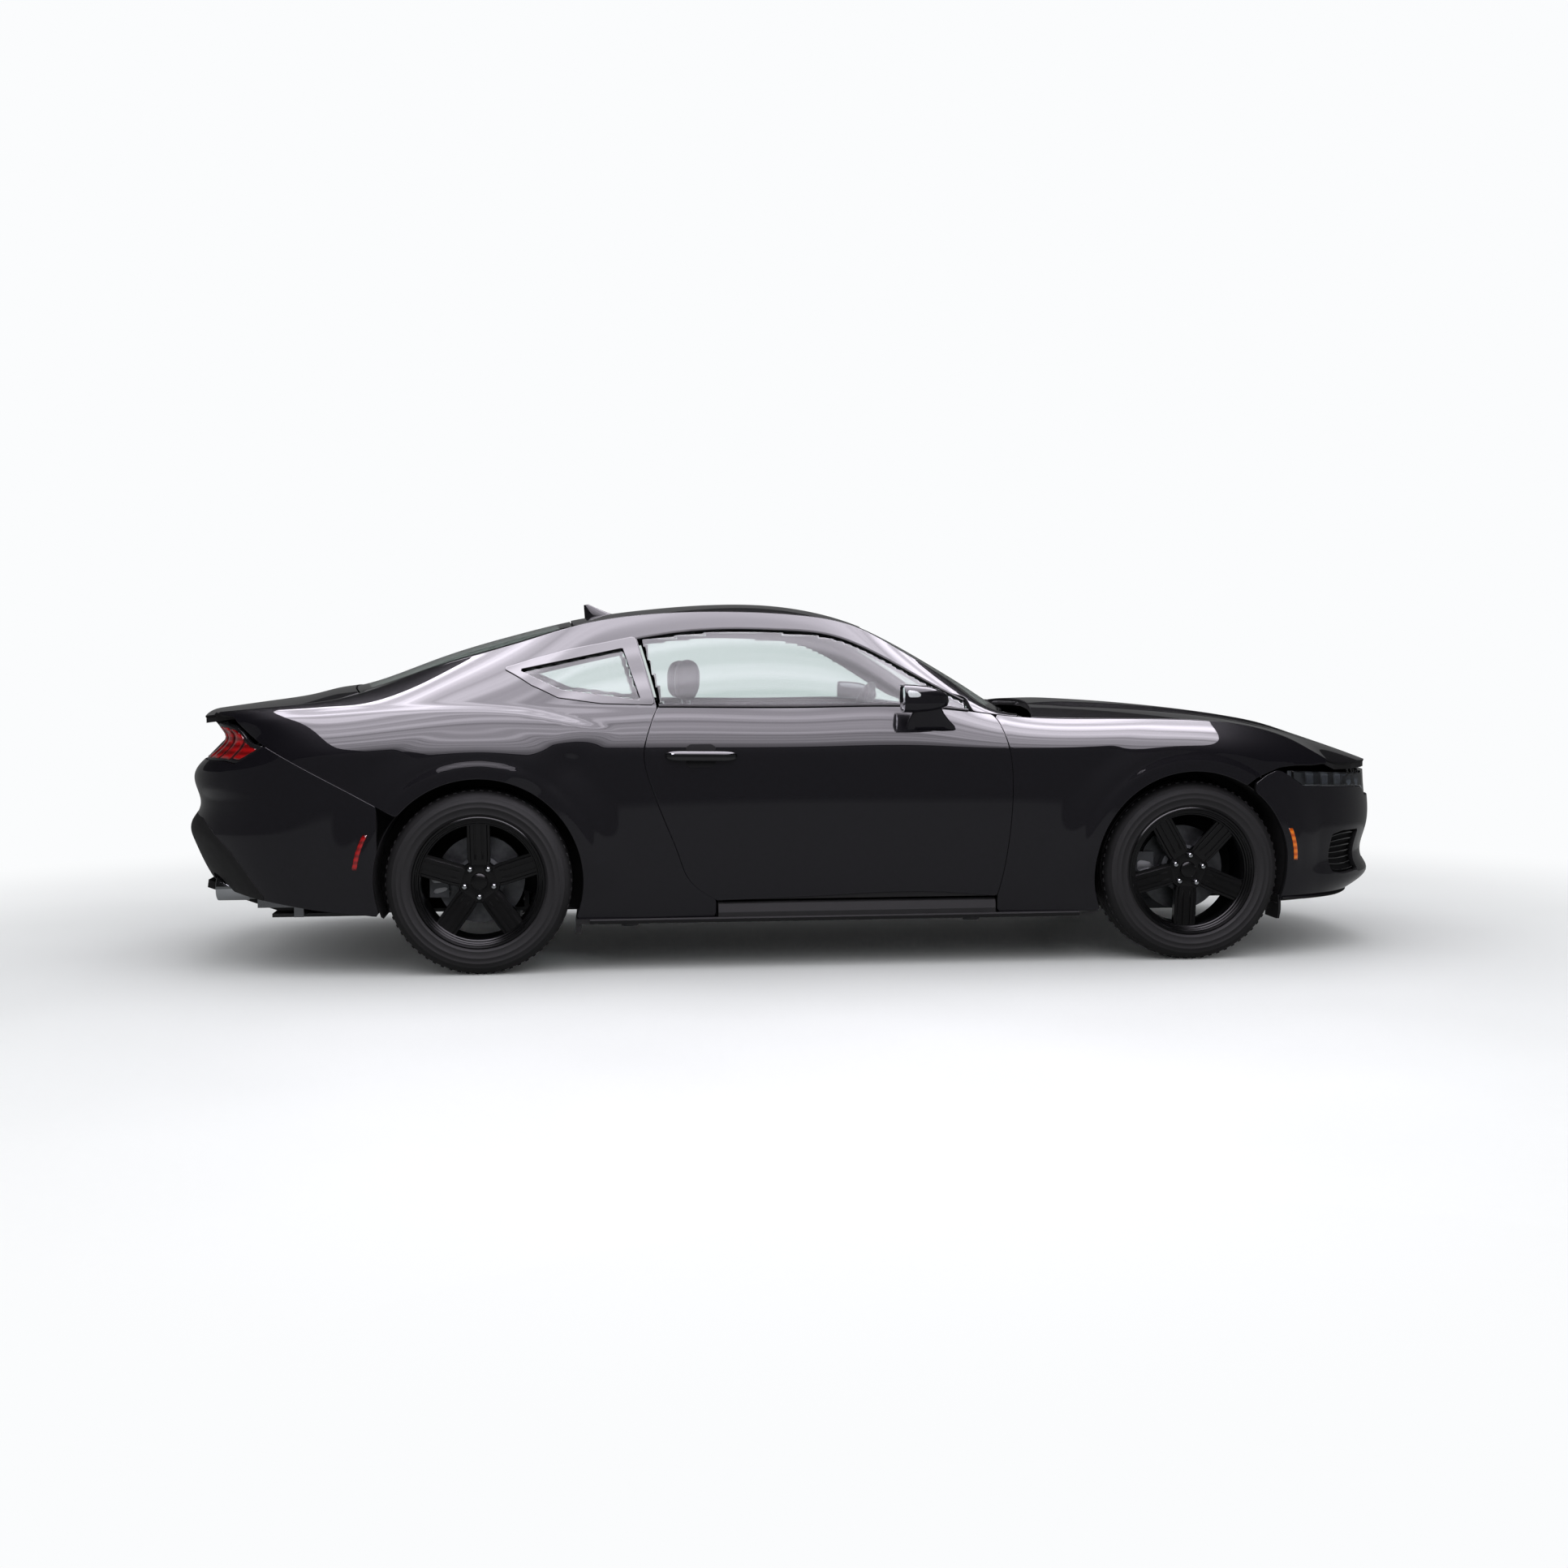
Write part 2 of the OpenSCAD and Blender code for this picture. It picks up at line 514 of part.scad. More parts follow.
module front_cover() difference() {
    slab(whole_nose(bumper_turns, bumper_rows, 0), whole_nose(bumper_turns, bumper_rows, bumper_t));
    both() arch(front_axle_x);
    both() front_marker(1);
    both() slab(pocket_grid(-10), pocket_grid(pocket_depth));
    intake_box();
}
module intake_box(room = 0)
    translate([nose_x, 0, sz(mix(intake_low_z, intake_high_z, 0.5))])
        cube([500, 2 * (sy(intake_half_w) - room), sz(intake_high_z) - sz(intake_low_z) - 2 * room],
             center = true);
// Splash plate that hangs from each front corner ahead of the tyre: y and z ranges
splash_in = 32;
splash_t = 20;
splash_y = [700, 852];
splash_z = [146, 240];
module splash_plate(axle_x, y, z)
    translate([axle_x + arch_r - splash_in, sy(y[0]), sz(z[0])])
        cube([splash_t, sy(y[1] - y[0]), sz(z[1]) - sz(z[0])]);
module front_bumper() color([0.1, 0.1, 0.11]) union() {
    front_cover();
    both() splash_plate(front_axle_x, splash_y, splash_z);
}
// Shallow pocket in each front corner: turn, lower and upper height
pocket_table = [[35, 318, 470], [40, 306, 482], [45, 306, 484], [50.5, 312, 480]];
pocket_depth = 16;
function pocket_grid(depth) =
    [for (r = pocket_table) [for (k = [0, 0.5, 1]) nose_point(r[0], sz(mix(r[1], r[2], k)), depth)]];
grille_turns = [57, 68, 79, 90];
grille_recess = 8;
grille_t = 18;
grille_high_z = 706;
function grille_half(depth) =
    [for (a = grille_turns) nose_column(a, lookup(a, bumper_high) + seam, grille_high_z, [0, 0.5, 1], depth)];
function whole_grille(depth) = both_halves(grille_half(depth));
intake_turns = [55, 60, 66, 72, 79, 90];
fit_room = 0.2;
function whole_intake(depth) =
    both_halves([for (a = intake_turns)
        nose_column(a, intake_low_z - seam, intake_high_z + seam, [0, 0.5, 1], depth)]);
// Six-sided openings in staggered rows
cell_r = 25;
cell_pitch = 56;
cell_count = 15;
cell_row = 0.8;
module cells(rows, low_z, count) {
    translate([nose_x - 300, 0, 0]) rotate([90, 0, 90]) linear_extrude(300)
        for (row = [0 : rows - 1], k = [0 : count - 1 - row % 2])
            let (y = (k - (count - 1 - row % 2) / 2) * cell_pitch, z = low_z + row * cell_pitch * cell_row)
            polygon([for (a = [0 : 60 : 300]) [sy(y + cell_r * cos(a)), sz(z + cell_r * sin(a))]]);
}
module grille() color("black") {
    difference() {
        slab(whole_grille(grille_recess), whole_grille(grille_recess + grille_t));
        cells(2, 632, cell_count);
    }
    difference() {
        intersection() {
            slab(whole_intake(grille_recess), whole_intake(grille_recess + grille_t));
            intake_box(fit_room);
        }
        cells(2, 374, cell_count + 1);
    }
}
lamp_turns = [19, 23, 30, 37, 45, 53, 56];
lamp_high = [[19, 728], [30, 718], [56, 702]];
lamp_recess = 5;
lamp_t = 26;
function headlamp_grid(depth) =
    [for (a = lamp_turns)
        nose_column(a, lookup(a, bumper_high) + seam, lookup(a, lamp_high), [0, 0.5, 1], depth)];
module headlamps() color([0.3, 0.3, 0.32]) both() union() {
    slab(headlamp_grid(lamp_recess), headlamp_grid(lamp_recess + lamp_t));
    front_marker(0);
}

// Rear bumper, tail lamps and deck lid with its rear face
tail_turns = [-10, -5, 0, 10, 17, 27, 31.5, 36, 45, 54, 64, 73, 81, 90];
rear_high = [[-10, 856], [27, 856], [36, 788], [45, 797], [90, 794]];
rear_low = [[-10, 222], [20, 268], [45, 300], [90, 335]];
rear_rows = [0, 0.2, 0.32, 0.4357, 0.62, 0.88, 1];
function rear_half(depth) =
    [for (a = tail_turns) [for (r = rear_rows)
        tail_point(a, sz(mix(lookup(a, rear_low), lookup(a, rear_high), r)), depth)]];
function whole_rear(depth) = both_halves(rear_half(depth));
// What lies above the seam between the quarter panel and the rear bumper
module quarter_seam_cut() rotate([90, 0, 0]) linear_extrude(3000, center = true)
    polygon([[sx(-2044), sz(860) - seam], [sx(-1575), sz(604) - seam], [sx(-1300), sz(500)],
        [sx(-1300), sz(1200)], [sx(-2044), sz(1200)]]);
// Notch in the bumper's lower edge round each exhaust tip
exhaust_y = 640;
exhaust_z = 310;
tip_r = 44;
notch_r = tip_r + 16;
module exhaust_notch() translate([tail_x, sy(exhaust_y), sz(exhaust_z)]) {
    rotate([0, 90, 0]) cylinder(r = notch_r, h = 600);
    translate([0, -notch_r, -200]) cube([600, 2 * notch_r, 200]);
}
plate_z = 668;
plate_size = [30, 330, 170];
module rear_bumper() color([0.1, 0.1, 0.11]) difference() {
    union() {
        slab(whole_rear(0), whole_rear(bumper_t));
        translate([at(tail_profile, sz(plate_z)) + 8, 0, sz(plate_z)]) cube(plate_size, center = true);
    }
    both() arch(rear_axle_x);
    quarter_seam_cut();
    both() rear_marker(1);
    both() exhaust_notch();
    for (side = [-1, 1])
        translate([at(tail_profile, sz(plate_z)) - 60, side * plate_hole_span / 2, sz(plate_z)])
            rotate([0, 90, 0]) cylinder(r = plate_hole_r, h = 200);
}
// Chevron lamps: turn, height of the upper edge, from the tip on the side to the inner end
tail_lamp_turns = [28.5, 31.5, 36, 41, 45, 54, 64, 72];
tail_lamp_high = [[28.5, 856], [31.5, 860], [36, 868], [41, 884], [46, 920], [54, 929], [72, 929]];
lamp_skin = 2;
tail_lamp_t = 28;
function tail_lamp_grid(depth) =
    [for (a = tail_lamp_turns) [for (r = [0, 0.33, 0.66, 1])
        tail_point(a, sz(mix(lookup(a, rear_high) + seam, lookup(a, tail_lamp_high), r)), depth)]];
// Three upright bars stand out of each lamp
bar_turns = [43, 53, 63];
bar_span = 6;
bar_proud = 4;
bar_inset = 12;
function tail_bar_grid(start, depth) =
    [for (a = [start, start + bar_span]) [for (r = [0, 0.5, 1])
        let (low = lookup(a, rear_high) + seam + bar_inset, high = lookup(a, tail_lamp_high) - bar_inset)
        tail_point(a, sz(mix(low, high, r)), depth)]];
module tail_lamps() color("darkred") both() union() {
    slab(tail_lamp_grid(lamp_skin), tail_lamp_grid(lamp_skin + tail_lamp_t));
    for (start = bar_turns) slab(tail_bar_grid(start, -bar_proud), tail_bar_grid(start, lamp_skin + seam));
    rear_marker(0);
}
// Upright marker lamps, let into the bumpers beside the wheel arches: heights, room to the arch, half width
marker_sink = 6;
rear_marker_z = [400, 530];
front_marker_z = [380, 505];
rear_marker_room = 68;
front_marker_room = 35;
marker_half_w = 9;
function arch_reach(z) = sqrt(max(0, arch_r * arch_r - (z - axle_z) * (z - axle_z)));
function nose_turn(x, z) =
    asin(pow(max(0, (x - nose_start) / (at(nose_profile, z) - nose_start)), nose_a / 2));
function rear_marker_point(side, z, depth) =
    tail_point((tail_start - rear_axle_x + arch_reach(z) + rear_marker_room + side) / side_step, z, depth);
function front_marker_point(side, z, depth) =
    nose_point(nose_turn(front_axle_x + arch_reach(z) + front_marker_room + side, z), z, depth);
function marker_grid(rear, grow, depth) =
    let (ends = rear ? rear_marker_z : front_marker_z)
    [for (side = [-1, 1]) [for (k = [0, 0.5, 1])
        let (z = sz(mix(ends[0] - grow, ends[1] + grow, k)), out = side * (marker_half_w + grow))
        rear ? rear_marker_point(out, z, depth) : front_marker_point(out, z, depth)]];
module rear_marker(grow)
    slab(marker_grid(true, grow, -1 - 6 * grow), marker_grid(true, grow, marker_sink + grow));
module front_marker(grow)
    slab(marker_grid(false, grow, -1 - 6 * grow), marker_grid(false, grow, marker_sink + grow));
deck_face_half_w = 435;
deck_face_low = 802;
deck_end_x = sx(-2300);
function deck_face_z(y, k) =
    let (t = y / at(rail_y, deck_end_x), top = mix(at(crown_z, deck_end_x), at(rail_z, deck_end_x), t * t))
    mix(sz(deck_face_low), top - lid_t / 2, k);
function deck_face(depth) =
    [for (y = steps(sy(deck_face_half_w), -sy(deck_face_half_w), 6)) [for (k = [0, 0.5, 1])
        let (z = deck_face_z(y, k), w = low_section_y(sx(-2200), z),
             u = pow(1 - pow(abs(y) / w, tail_b), 1 / tail_a))
        [tail_start + (at(tail_profile, z) - tail_start) * u + depth, y, z]]];
deck_reach = 0.985;
module deck_lid() color("black") union() {
    crown_slab(deck_stations, lid_t, deck_reach);
    slab(deck_face(0), deck_face(lid_t));
}
diffuser_half_w = 520;
diffuser_profile = [[-2318, 330], [-2322, 300], [-2060, 205], [-1990, 205], [-1990, 222], [-2060, 222]];
module rear_diffuser() color([0.12, 0.12, 0.12]) {
    rotate([90, 0, 0]) linear_extrude(2 * sy(diffuser_half_w), center = true)
        polygon([for (p = diffuser_profile) [sx(p[0]), sz(p[1])]]);
}

// Floor with tunnel, sills, bulkheads and jacking pads
floor_z = sz(178);
floor_t = 14;
// Ends of the floor and the sills at the wheel arches, and the sill's width inside the body wall
floor_rear_x = rear_axle_x + arch_r - 8;
sill_rear_x = floor_rear_x + 19;
floor_front_x = front_axle_x - arch_r - 52;
sill_out = sy(877) - wall_t;
sill_w = 122;
// Bulkheads behind the engine and behind the seats: x, half width, height
bulkheads = [[900, 640, 900], [-1112, 430, 640]];
bulkhead_t = 18;
tunnel_x = [-820, 890];
tunnel_w = 260;
tunnel_h = 150;
jack_pad_h = 20;
floor_half = [[sx(-2080), sy(520)], [sx(-1680), sy(520)], [sx(-1680), sy(430)], [floor_rear_x, sy(430)],
    [floor_rear_x, sill_out], [floor_front_x, sill_out], [floor_front_x, sy(340)], [sx(1880), sy(340)],
    [sx(1960), sy(520)], [sx(2120), sy(430)]];
jack_x = [-700, 620];
jack_y = sill_out - jack_pad_r - 10;
// Final drive between the rear bulkhead and its mirror place, and the opening round it
drive_room = 7.5;
hole_room = 25;
final_drive_size = [2 * (sx(bulkheads[1][0]) - rear_axle_x - drive_room), 300, 220];
drive_hole = [final_drive_size[0] / 2 + hole_room, 200];
module floor_pan() color([0.15, 0.15, 0.16]) {
    union() {
        translate([0, 0, floor_z]) linear_extrude(floor_t) difference() {
            polygon(concat(floor_half,
                           [for (i = [len(floor_half) - 1 : -1 : 0]) [floor_half[i][0], -floor_half[i][1]]]));
            translate([rear_axle_x, 0]) square(2 * drive_hole, center = true);
        }
        both() translate([sill_rear_x, sill_out - sill_w, floor_z])
            cube([sx(700) - sill_rear_x, sill_w, sill_top_z - floor_z]);
        for (b = bulkheads)
            translate([sx(b[0]), -sy(b[1]), floor_z]) cube([bulkhead_t, 2 * sy(b[1]), sz(b[2]) - floor_z]);
        translate([sx(tunnel_x[0]), -tunnel_w / 2, floor_z])
            cube([sx(tunnel_x[1]) - sx(tunnel_x[0]), tunnel_w, tunnel_h]);
        for (x = jack_x)
            both() translate([sx(x), jack_y, floor_z - jack_pad_h])
                cylinder(r = jack_pad_r, h = 2 * jack_pad_h);
    }
}
// Side skirt: a low blade under the whole side and a rocker below the door, each a section of y and z
skirt_in = sill_out + 4;
skirt_profile = [[skirt_in, sz(197)], [sy(898), sz(197)], [sy(906), sz(192)], [sy(898), sz(178)],
    [skirt_in, sz(178)]];
rocker_profile = [[skirt_in, sz(190)], [skirt_in, sz(254)], [sy(878), sz(254)], [sy(890), sz(246)],
    [sy(897), sz(215)], [sy(897), sz(190)]];
skirt_x = [sill_rear_x + 10, floor_front_x];
rocker_x = [sx(-368), sx(694)];
module skirt_bar(ends, profile)
    translate([ends[0], 0, 0]) rotate([90, 0, 90]) linear_extrude(ends[1] - ends[0]) polygon(profile);
flap_y = [740, 895];
flap_z = [146, 197];
module side_skirts() color([0.16, 0.16, 0.17]) both() union() {
    skirt_bar(skirt_x, skirt_profile);
    skirt_bar([sill_rear_x - splash_in - 11, skirt_x[0] + 1], [for (i = [0, 1, 3, 4]) skirt_profile[i]]);
    splash_plate(rear_axle_x, flap_y, flap_z);
    skirt_bar(rocker_x, rocker_profile);
}

// Cowl and wipers between the windshield and the hood
cowl_drop = 12;
cowl_t = 20;
module cowl_panel() color([0.08, 0.08, 0.08]) {
    grid = [for (a = steps(0, 1, 2)) [for (t = steps(0.97, -0.97, crown_cols))
        let (p = crown_point(sx(738), t),
             q = [hood_rear_x + hood_rear_bow * (1 - t * t) - 2 * gap, p[1], sz(930)])
        mix(q, p - [0, 0, cowl_drop], a)]];
    slab(grid, lowered(grid, cowl_t));
}
// Wipers: a blade and an arm each, lying across the foot of the windshield
blade_size = [14, 480, 10];
arm_size = [12, 300, 8];
wiper_y = [-330, 260];
module wipers() color([0.05, 0.05, 0.05])
    for (y = wiper_y)
        translate([sx(850), sy(y), sz(985)]) union() {
            cube(blade_size, center = true);
            translate([-6, -60, 6]) rotate([0, 0, 3]) cube(arm_size, center = true);
        }

// Cabin furniture
console_x = [-420, 640];
console_w = 230;
console_h = 210;
dash_half_w = 660;
dash_profile = [[860, 640], [860, 850], [780, 890], [560, 912], [470, 868], [470, 760], [600, 640]];
module dashboard() color([0.1, 0.1, 0.11]) union() {
    rotate([90, 0, 0]) linear_extrude(2 * sy(dash_half_w), center = true)
        polygon([for (p = dash_profile) [sx(p[0]), sz(p[1])]]);
    translate([sx(console_x[0]), -console_w / 2, floor_z + tunnel_h])
        cube([sx(console_x[1]) - sx(console_x[0]), console_w, console_h]);
}
seat_profile = [[210, 300], [250, 420], [210, 470], [-180, 425], [-230, 470], [-390, 960], [-440, 990],
    [-490, 960], [-330, 330], [-290, 300]];
headrest_profile = [[-425, 1000], [-400, 1120], [-430, 1170], [-480, 1165], [-510, 1100], [-495, 1000]];
seat_y = 375;
seat_w = 2 * (sy(seat_y) - console_w / 2 - 20);
headrest_w = 270;
seat_base = 2 * (sy(seat_y) - tunnel_w / 2 - 55);
module seat_form(profile, w)
    rotate([90, 0, 0]) linear_extrude(w, center = true)
        offset(14) offset(-14) polygon([for (p = profile) [sx(p[0]), sz(p[1])]]);
module front_seats() color([0.12, 0.12, 0.13]) both() translate([0, sy(seat_y), 0]) union() {
    seat_form(seat_profile, seat_w);
    seat_form(headrest_profile, headrest_w);
    translate([sx(-455), 0, sz(985)]) cube([24, headrest_w / 2, 60], center = true);
    translate([sx(-40) - seat_base / 2, -seat_base / 2, floor_z + floor_t])
        cube([seat_base, seat_base, sz(320) - floor_z - floor_t]);
}
rear_seat_profile = [[-560, 380], [-540, 460], [-600, 490], [-860, 440], [-980, 940], [-1060, 960],
    [-1080, 920], [-960, 400]];
rear_seat_half_w = 520;
module rear_seat() color([0.12, 0.12, 0.13]) seat_form(rear_seat_profile, 2 * sy(rear_seat_half_w));
wheel_tilt = 24;
column_x = sx(330);
column_z = sz(905);
steering_y = 375;
steering_wheel_r = 183;
module steering_wheel() color([0.1, 0.1, 0.1])
    translate([column_x, sy(steering_y), column_z]) rotate([0, -90 + wheel_tilt, 0]) union() {
        rotate_extrude() translate([steering_wheel_r - 16, 0]) circle(16);
        translate([0, 0, -22]) cylinder(r = 70, h = 40);
        for (a = [90, 180, 270])
            rotate([0, 0, a]) translate([40, -22, -8]) cube([steering_wheel_r - 56, 44, 16]);
        translate([0, 0, -90]) cylinder(r = 24, h = 80);
    }

// Engine, subframes and exhaust
engine_size = [640, 600, 540];
module engine() color("dimgray") translate([sx(1320), 0, floor_z + floor_t + engine_size[2] / 2])
    cube(engine_size, center = true);
arm_short = 124;
arm_z = axle_z - 120;
module front_subframe() color([0.2, 0.2, 0.2]) union() {
    translate([front_axle_x, 0, floor_z - 20]) cube([220, 2 * sy(400), 40], center = true);
    both() {
        hull() {
            translate([front_axle_x, sy(380), arm_z]) cube([200, 30, 30], center = true);
            translate([front_axle_x, hub_y(front_track) - arm_short, arm_z]) cube([50, 10, 26], center = true);
        }
        translate([front_axle_x, sy(380), (arm_z + floor_z) / 2 - 10])
            cube([200, 30, abs(arm_z - floor_z) + 40], center = true);
    }
}
function hub_y(track) = track / 2 - 62;
module hub() rotate([-90, 0, 0]) {
    translate([0, 0, -70]) cylinder(r = 66, h = 70);
    cylinder(r = hub_bore_r - 3.3, h = 58);
}
// Caliper behind the axle, straddling the disc
hat_r = 92;
caliper_in = hat_r + 25;
caliper_out = disc_d / 2 + 24;
caliper_w = 78;
caliper_h = 130;
bridge_t = 14;
slot_w = 38;
bracket_size = [caliper_in - 7, 70, 50];
module caliper() {
    difference() {
        translate([-caliper_out, 14 - caliper_w / 2, -caliper_h / 2])
            cube([caliper_out - caliper_in, caliper_w, caliper_h]);
        translate([bridge_t - caliper_out, 11 - slot_w / 2, -caliper_h])
            cube([caliper_out - caliper_in, slot_w, 2 * caliper_h]);
    }
    translate([-20 - bracket_size[0], -54 - bracket_size[1] / 2, -bracket_size[2] / 2]) cube(bracket_size);
}
module knuckle(track) {
    translate([front_axle_x, hub_y(track), axle_z]) union() {
        hub();
        translate([0, -90, 0]) cube([70, 44, 250], center = true);
        caliper();
    }
}
rear_beam_size = [260, 800, 40];
module rear_subframe() color([0.2, 0.2, 0.2]) union() {
    translate([rear_axle_x, 0, axle_z]) cube(final_drive_size, center = true);
    translate([rear_axle_x, 0, floor_z - rear_beam_size[2] / 2]) cube(rear_beam_size, center = true);
    translate([rear_axle_x - 60, -60, floor_z - 10]) cube([120, 120, axle_z - floor_z + 10]);
    both() {
        translate([rear_axle_x, 100, axle_z]) rotate([-90, 0, 0]) cylinder(r = 22, h = hub_y(rear_track) - 160);
        translate([rear_axle_x, hub_y(rear_track), axle_z]) {
            hub();
            translate([-40, -54, 0]) cube([90, 32, 32], center = true);
            caliper();
        }
    }
}
muffler_x = [-2100, -1900];
muffler_size = [160, 140];
hanger_x = -1960;
hanger_y = 470;
hanger_w = 36;
tip_t = 4;
tip_x = [-2256, -2090];
module exhaust() color("silver") both() union() {
    translate([sx(muffler_x[0]), sy(exhaust_y) - muffler_size[0] / 2, sz(exhaust_z) - muffler_size[1] / 2])
        cube([sx(muffler_x[1]) - sx(muffler_x[0]), muffler_size[0], muffler_size[1]]);
    translate([sx(hanger_x) - hanger_w / 2, sy(hanger_y), floor_z + floor_t])
        cube([hanger_w, sy(exhaust_y - hanger_y), sz(exhaust_z) - floor_z - floor_t]);
    translate([sx(tip_x[0]), sy(exhaust_y), sz(exhaust_z)]) rotate([0, 90, 0])
        difference() {
            cylinder(r = tip_r, h = sx(tip_x[1]) - sx(tip_x[0]));
            translate([0, 0, -1]) cylinder(r = tip_r - tip_t, h = 90);
        }
}
// Antenna fin on the roof: x, height over the roof's centre line
fin_w = 34;
fin_profile = [[-862, 50], [-846, 51], [-800, 38], [-735, 12], [-735, 0.6], [-846, 0.6]];
function roof_z(x) = at(crown_z, x - at(crown_bow, x));
module antenna_fin() color("black")
    rotate([90, 0, 0]) linear_extrude(fin_w, center = true)
        polygon([for (p = fin_profile) [sx(p[0]), roof_z(sx(p[0])) + p[1]]]);

// Wheels: rim with five grooved spokes, brake disc and hub, then the tyre
spoke_count = 5;
// Rim section: reach from the flange's radius, place across as a share of the half width, then offset
rim_section = [[-24, -1, 0], [0, -1, 0], [0, -1, 12], [-16, -1, 22], [-30, 0, -20], [-16, 1, -22], [0, 1, -12],
    [0, 1, 0], [-12, 1, 0], [-26, 1, -18], [-40, 0, -20]];
disc_y = -48;
module wheel_form(flip_out, turn) mirror([0, flip_out ? 1 : 0, 0]) rotate([-90, 0, 0]) {
    rim_r = rim_d / 2;
    difference() {
        union() {
            rotate_extrude($fn = 96) polygon([for (p = rim_section) [rim_r + p[0], p[1] * rim_w / 2 + p[2]]]);
            for (k = [0 : spoke_count - 1]) rotate([0, 0, turn + k * 360 / spoke_count]) spoke(rim_r);
            translate([0, 0, 2]) cylinder(r = 78, h = 62);
            translate([0, 0, disc_y - 14]) cylinder(r = disc_d / 2, h = 26);
            translate([0, 0, disc_y]) cylinder(r = hat_r, h = 66);
        }
        translate([0, 0, disc_y - 40]) cylinder(r = hub_bore_r, h = 118);
        translate([0, 0, disc_y - 20]) cylinder(r = 78, h = 48);
    }
}
spoke_half_w = 43;
spoke_middle = 31;
spoke_t = 26;
spoke_raise = 6;
spoke_rise = 8;
spoke_foot = 40;
groove_y = 14;
groove_w = 7;
module spoke_bar(half_w, h, end) translate([spoke_foot, -half_w, 0]) cube([end - spoke_foot, 2 * half_w, h]);
module spoke(rim_r) translate([0, 0, 24]) rotate([0, -spoke_rise, 0]) difference() {
    union() {
        spoke_bar(spoke_half_w, spoke_t, rim_r - 20);
        spoke_bar(spoke_middle, spoke_t + spoke_raise, rim_r - 20);
    }
    for (side = [-1, 1])
        translate([95, side * groove_y - groove_w / 2, spoke_t]) cube([rim_r, groove_w, 2 * spoke_raise]);
}
// Turn of the first spoke, as the car stands
front_turn = 95;
rear_turn = -90;
module wheel_at(x, track, left, turn)
    color([0.08, 0.08, 0.08]) translate([x, (left ? 1 : -1) * track / 2, axle_z]) wheel_form(!left, turn);
module tyre_form() {
    r = tyre_d / 2;
    w = tyre_w / 2;
    rim_r = rim_d / 2;
    rotate([-90, 0, 0]) rotate_extrude($fn = 64)
        polygon([[rim_r + 0.4, -rim_w / 2 + 4], [rim_r + 12, -w + 4], [rim_r + 45, -w], [r - 34, -w + 6],
            [r - 10, -w + 20], [r, -w + 50], [r, w - 50], [r - 10, w - 20], [r - 34, w - 6], [rim_r + 45, w],
            [rim_r + 12, w - 4], [rim_r + 0.4, rim_w / 2 - 4]]);
}
module tyre_at(x, track, left)
    color([0.06, 0.06, 0.06]) translate([x, (left ? 1 : -1) * track / 2, axle_z]) tyre_form();
module wheel_front_left() wheel_at(front_axle_x, front_track, true, front_turn);
module wheel_front_right() wheel_at(front_axle_x, front_track, false, front_turn);
module wheel_rear_left() wheel_at(rear_axle_x, rear_track, true, rear_turn);
module wheel_rear_right() wheel_at(rear_axle_x, rear_track, false, rear_turn);
module tyre_front_left() tyre_at(front_axle_x, front_track, true);
module tyre_front_right() tyre_at(front_axle_x, front_track, false);
module tyre_rear_left() tyre_at(rear_axle_x, rear_track, true);
module tyre_rear_right() tyre_at(rear_axle_x, rear_track, false);
module knuckle_left() color([0.3, 0.3, 0.3]) knuckle(front_track);
module knuckle_right() color([0.3, 0.3, 0.3]) mirror([0, 1, 0]) knuckle(front_track);

floor_pan();
body_sides();
roof_panel();
fenders();
front_bumper();
grille();
headlamps();
tail_lamps();
rear_bumper();
rear_diffuser();
windshield();
rear_window();
quarter_windows();
side_skirts();
cowl_panel();
wipers();
dashboard();
front_seats();
rear_seat();
engine();
front_subframe();
rear_subframe();
exhaust();
antenna_fin();
hood();
deck_lid();
door_left();
door_glass_left();
handle_left();
mirror_left();
door_right();
door_glass_right();
handle_right();
mirror_right();
steering_wheel();
knuckle_left();
knuckle_right();
wheel_front_left();
wheel_front_right();
wheel_rear_left();
wheel_rear_right();
tyre_front_left();
tyre_front_right();
tyre_rear_left();
tyre_rear_right();
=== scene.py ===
import math
import bmesh
import bpy
import numpy as np
from mathutils import Matrix, Vector


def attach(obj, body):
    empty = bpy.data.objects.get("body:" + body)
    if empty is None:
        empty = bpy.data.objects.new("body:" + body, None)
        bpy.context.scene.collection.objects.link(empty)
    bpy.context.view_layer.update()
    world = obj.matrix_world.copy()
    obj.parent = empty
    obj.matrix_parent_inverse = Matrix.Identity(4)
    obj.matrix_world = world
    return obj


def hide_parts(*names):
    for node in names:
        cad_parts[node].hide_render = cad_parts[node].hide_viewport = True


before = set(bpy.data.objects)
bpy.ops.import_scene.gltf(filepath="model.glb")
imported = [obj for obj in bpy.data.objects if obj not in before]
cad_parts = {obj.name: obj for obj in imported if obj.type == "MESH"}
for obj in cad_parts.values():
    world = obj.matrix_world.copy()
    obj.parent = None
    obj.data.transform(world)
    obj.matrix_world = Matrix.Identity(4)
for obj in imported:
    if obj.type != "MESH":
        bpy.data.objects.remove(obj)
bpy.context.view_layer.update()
mm = 0.001


# colours are sRGB hex, turned to linear here
def linear(hexText):
    parts = [int(hexText[i:i + 2], 16) / 255 for i in (0, 2, 4)]
    return (*[c / 12.92 if c <= 0.04045 else ((c + 0.055) / 1.055) ** 2.4 for c in parts], 1.0)


# one node with its settings, input values and links
def addNode(tree, kind, settings=None, values=None, links=None):
    node = tree.nodes.new(kind)
    for key, value in (settings or {}).items():
        setattr(node, key, value)
    for key, value in (values or {}).items():
        node.inputs[key].default_value = value
    for key, socket in (links or {}).items():
        tree.links.new(socket, node.inputs[key])
    return node


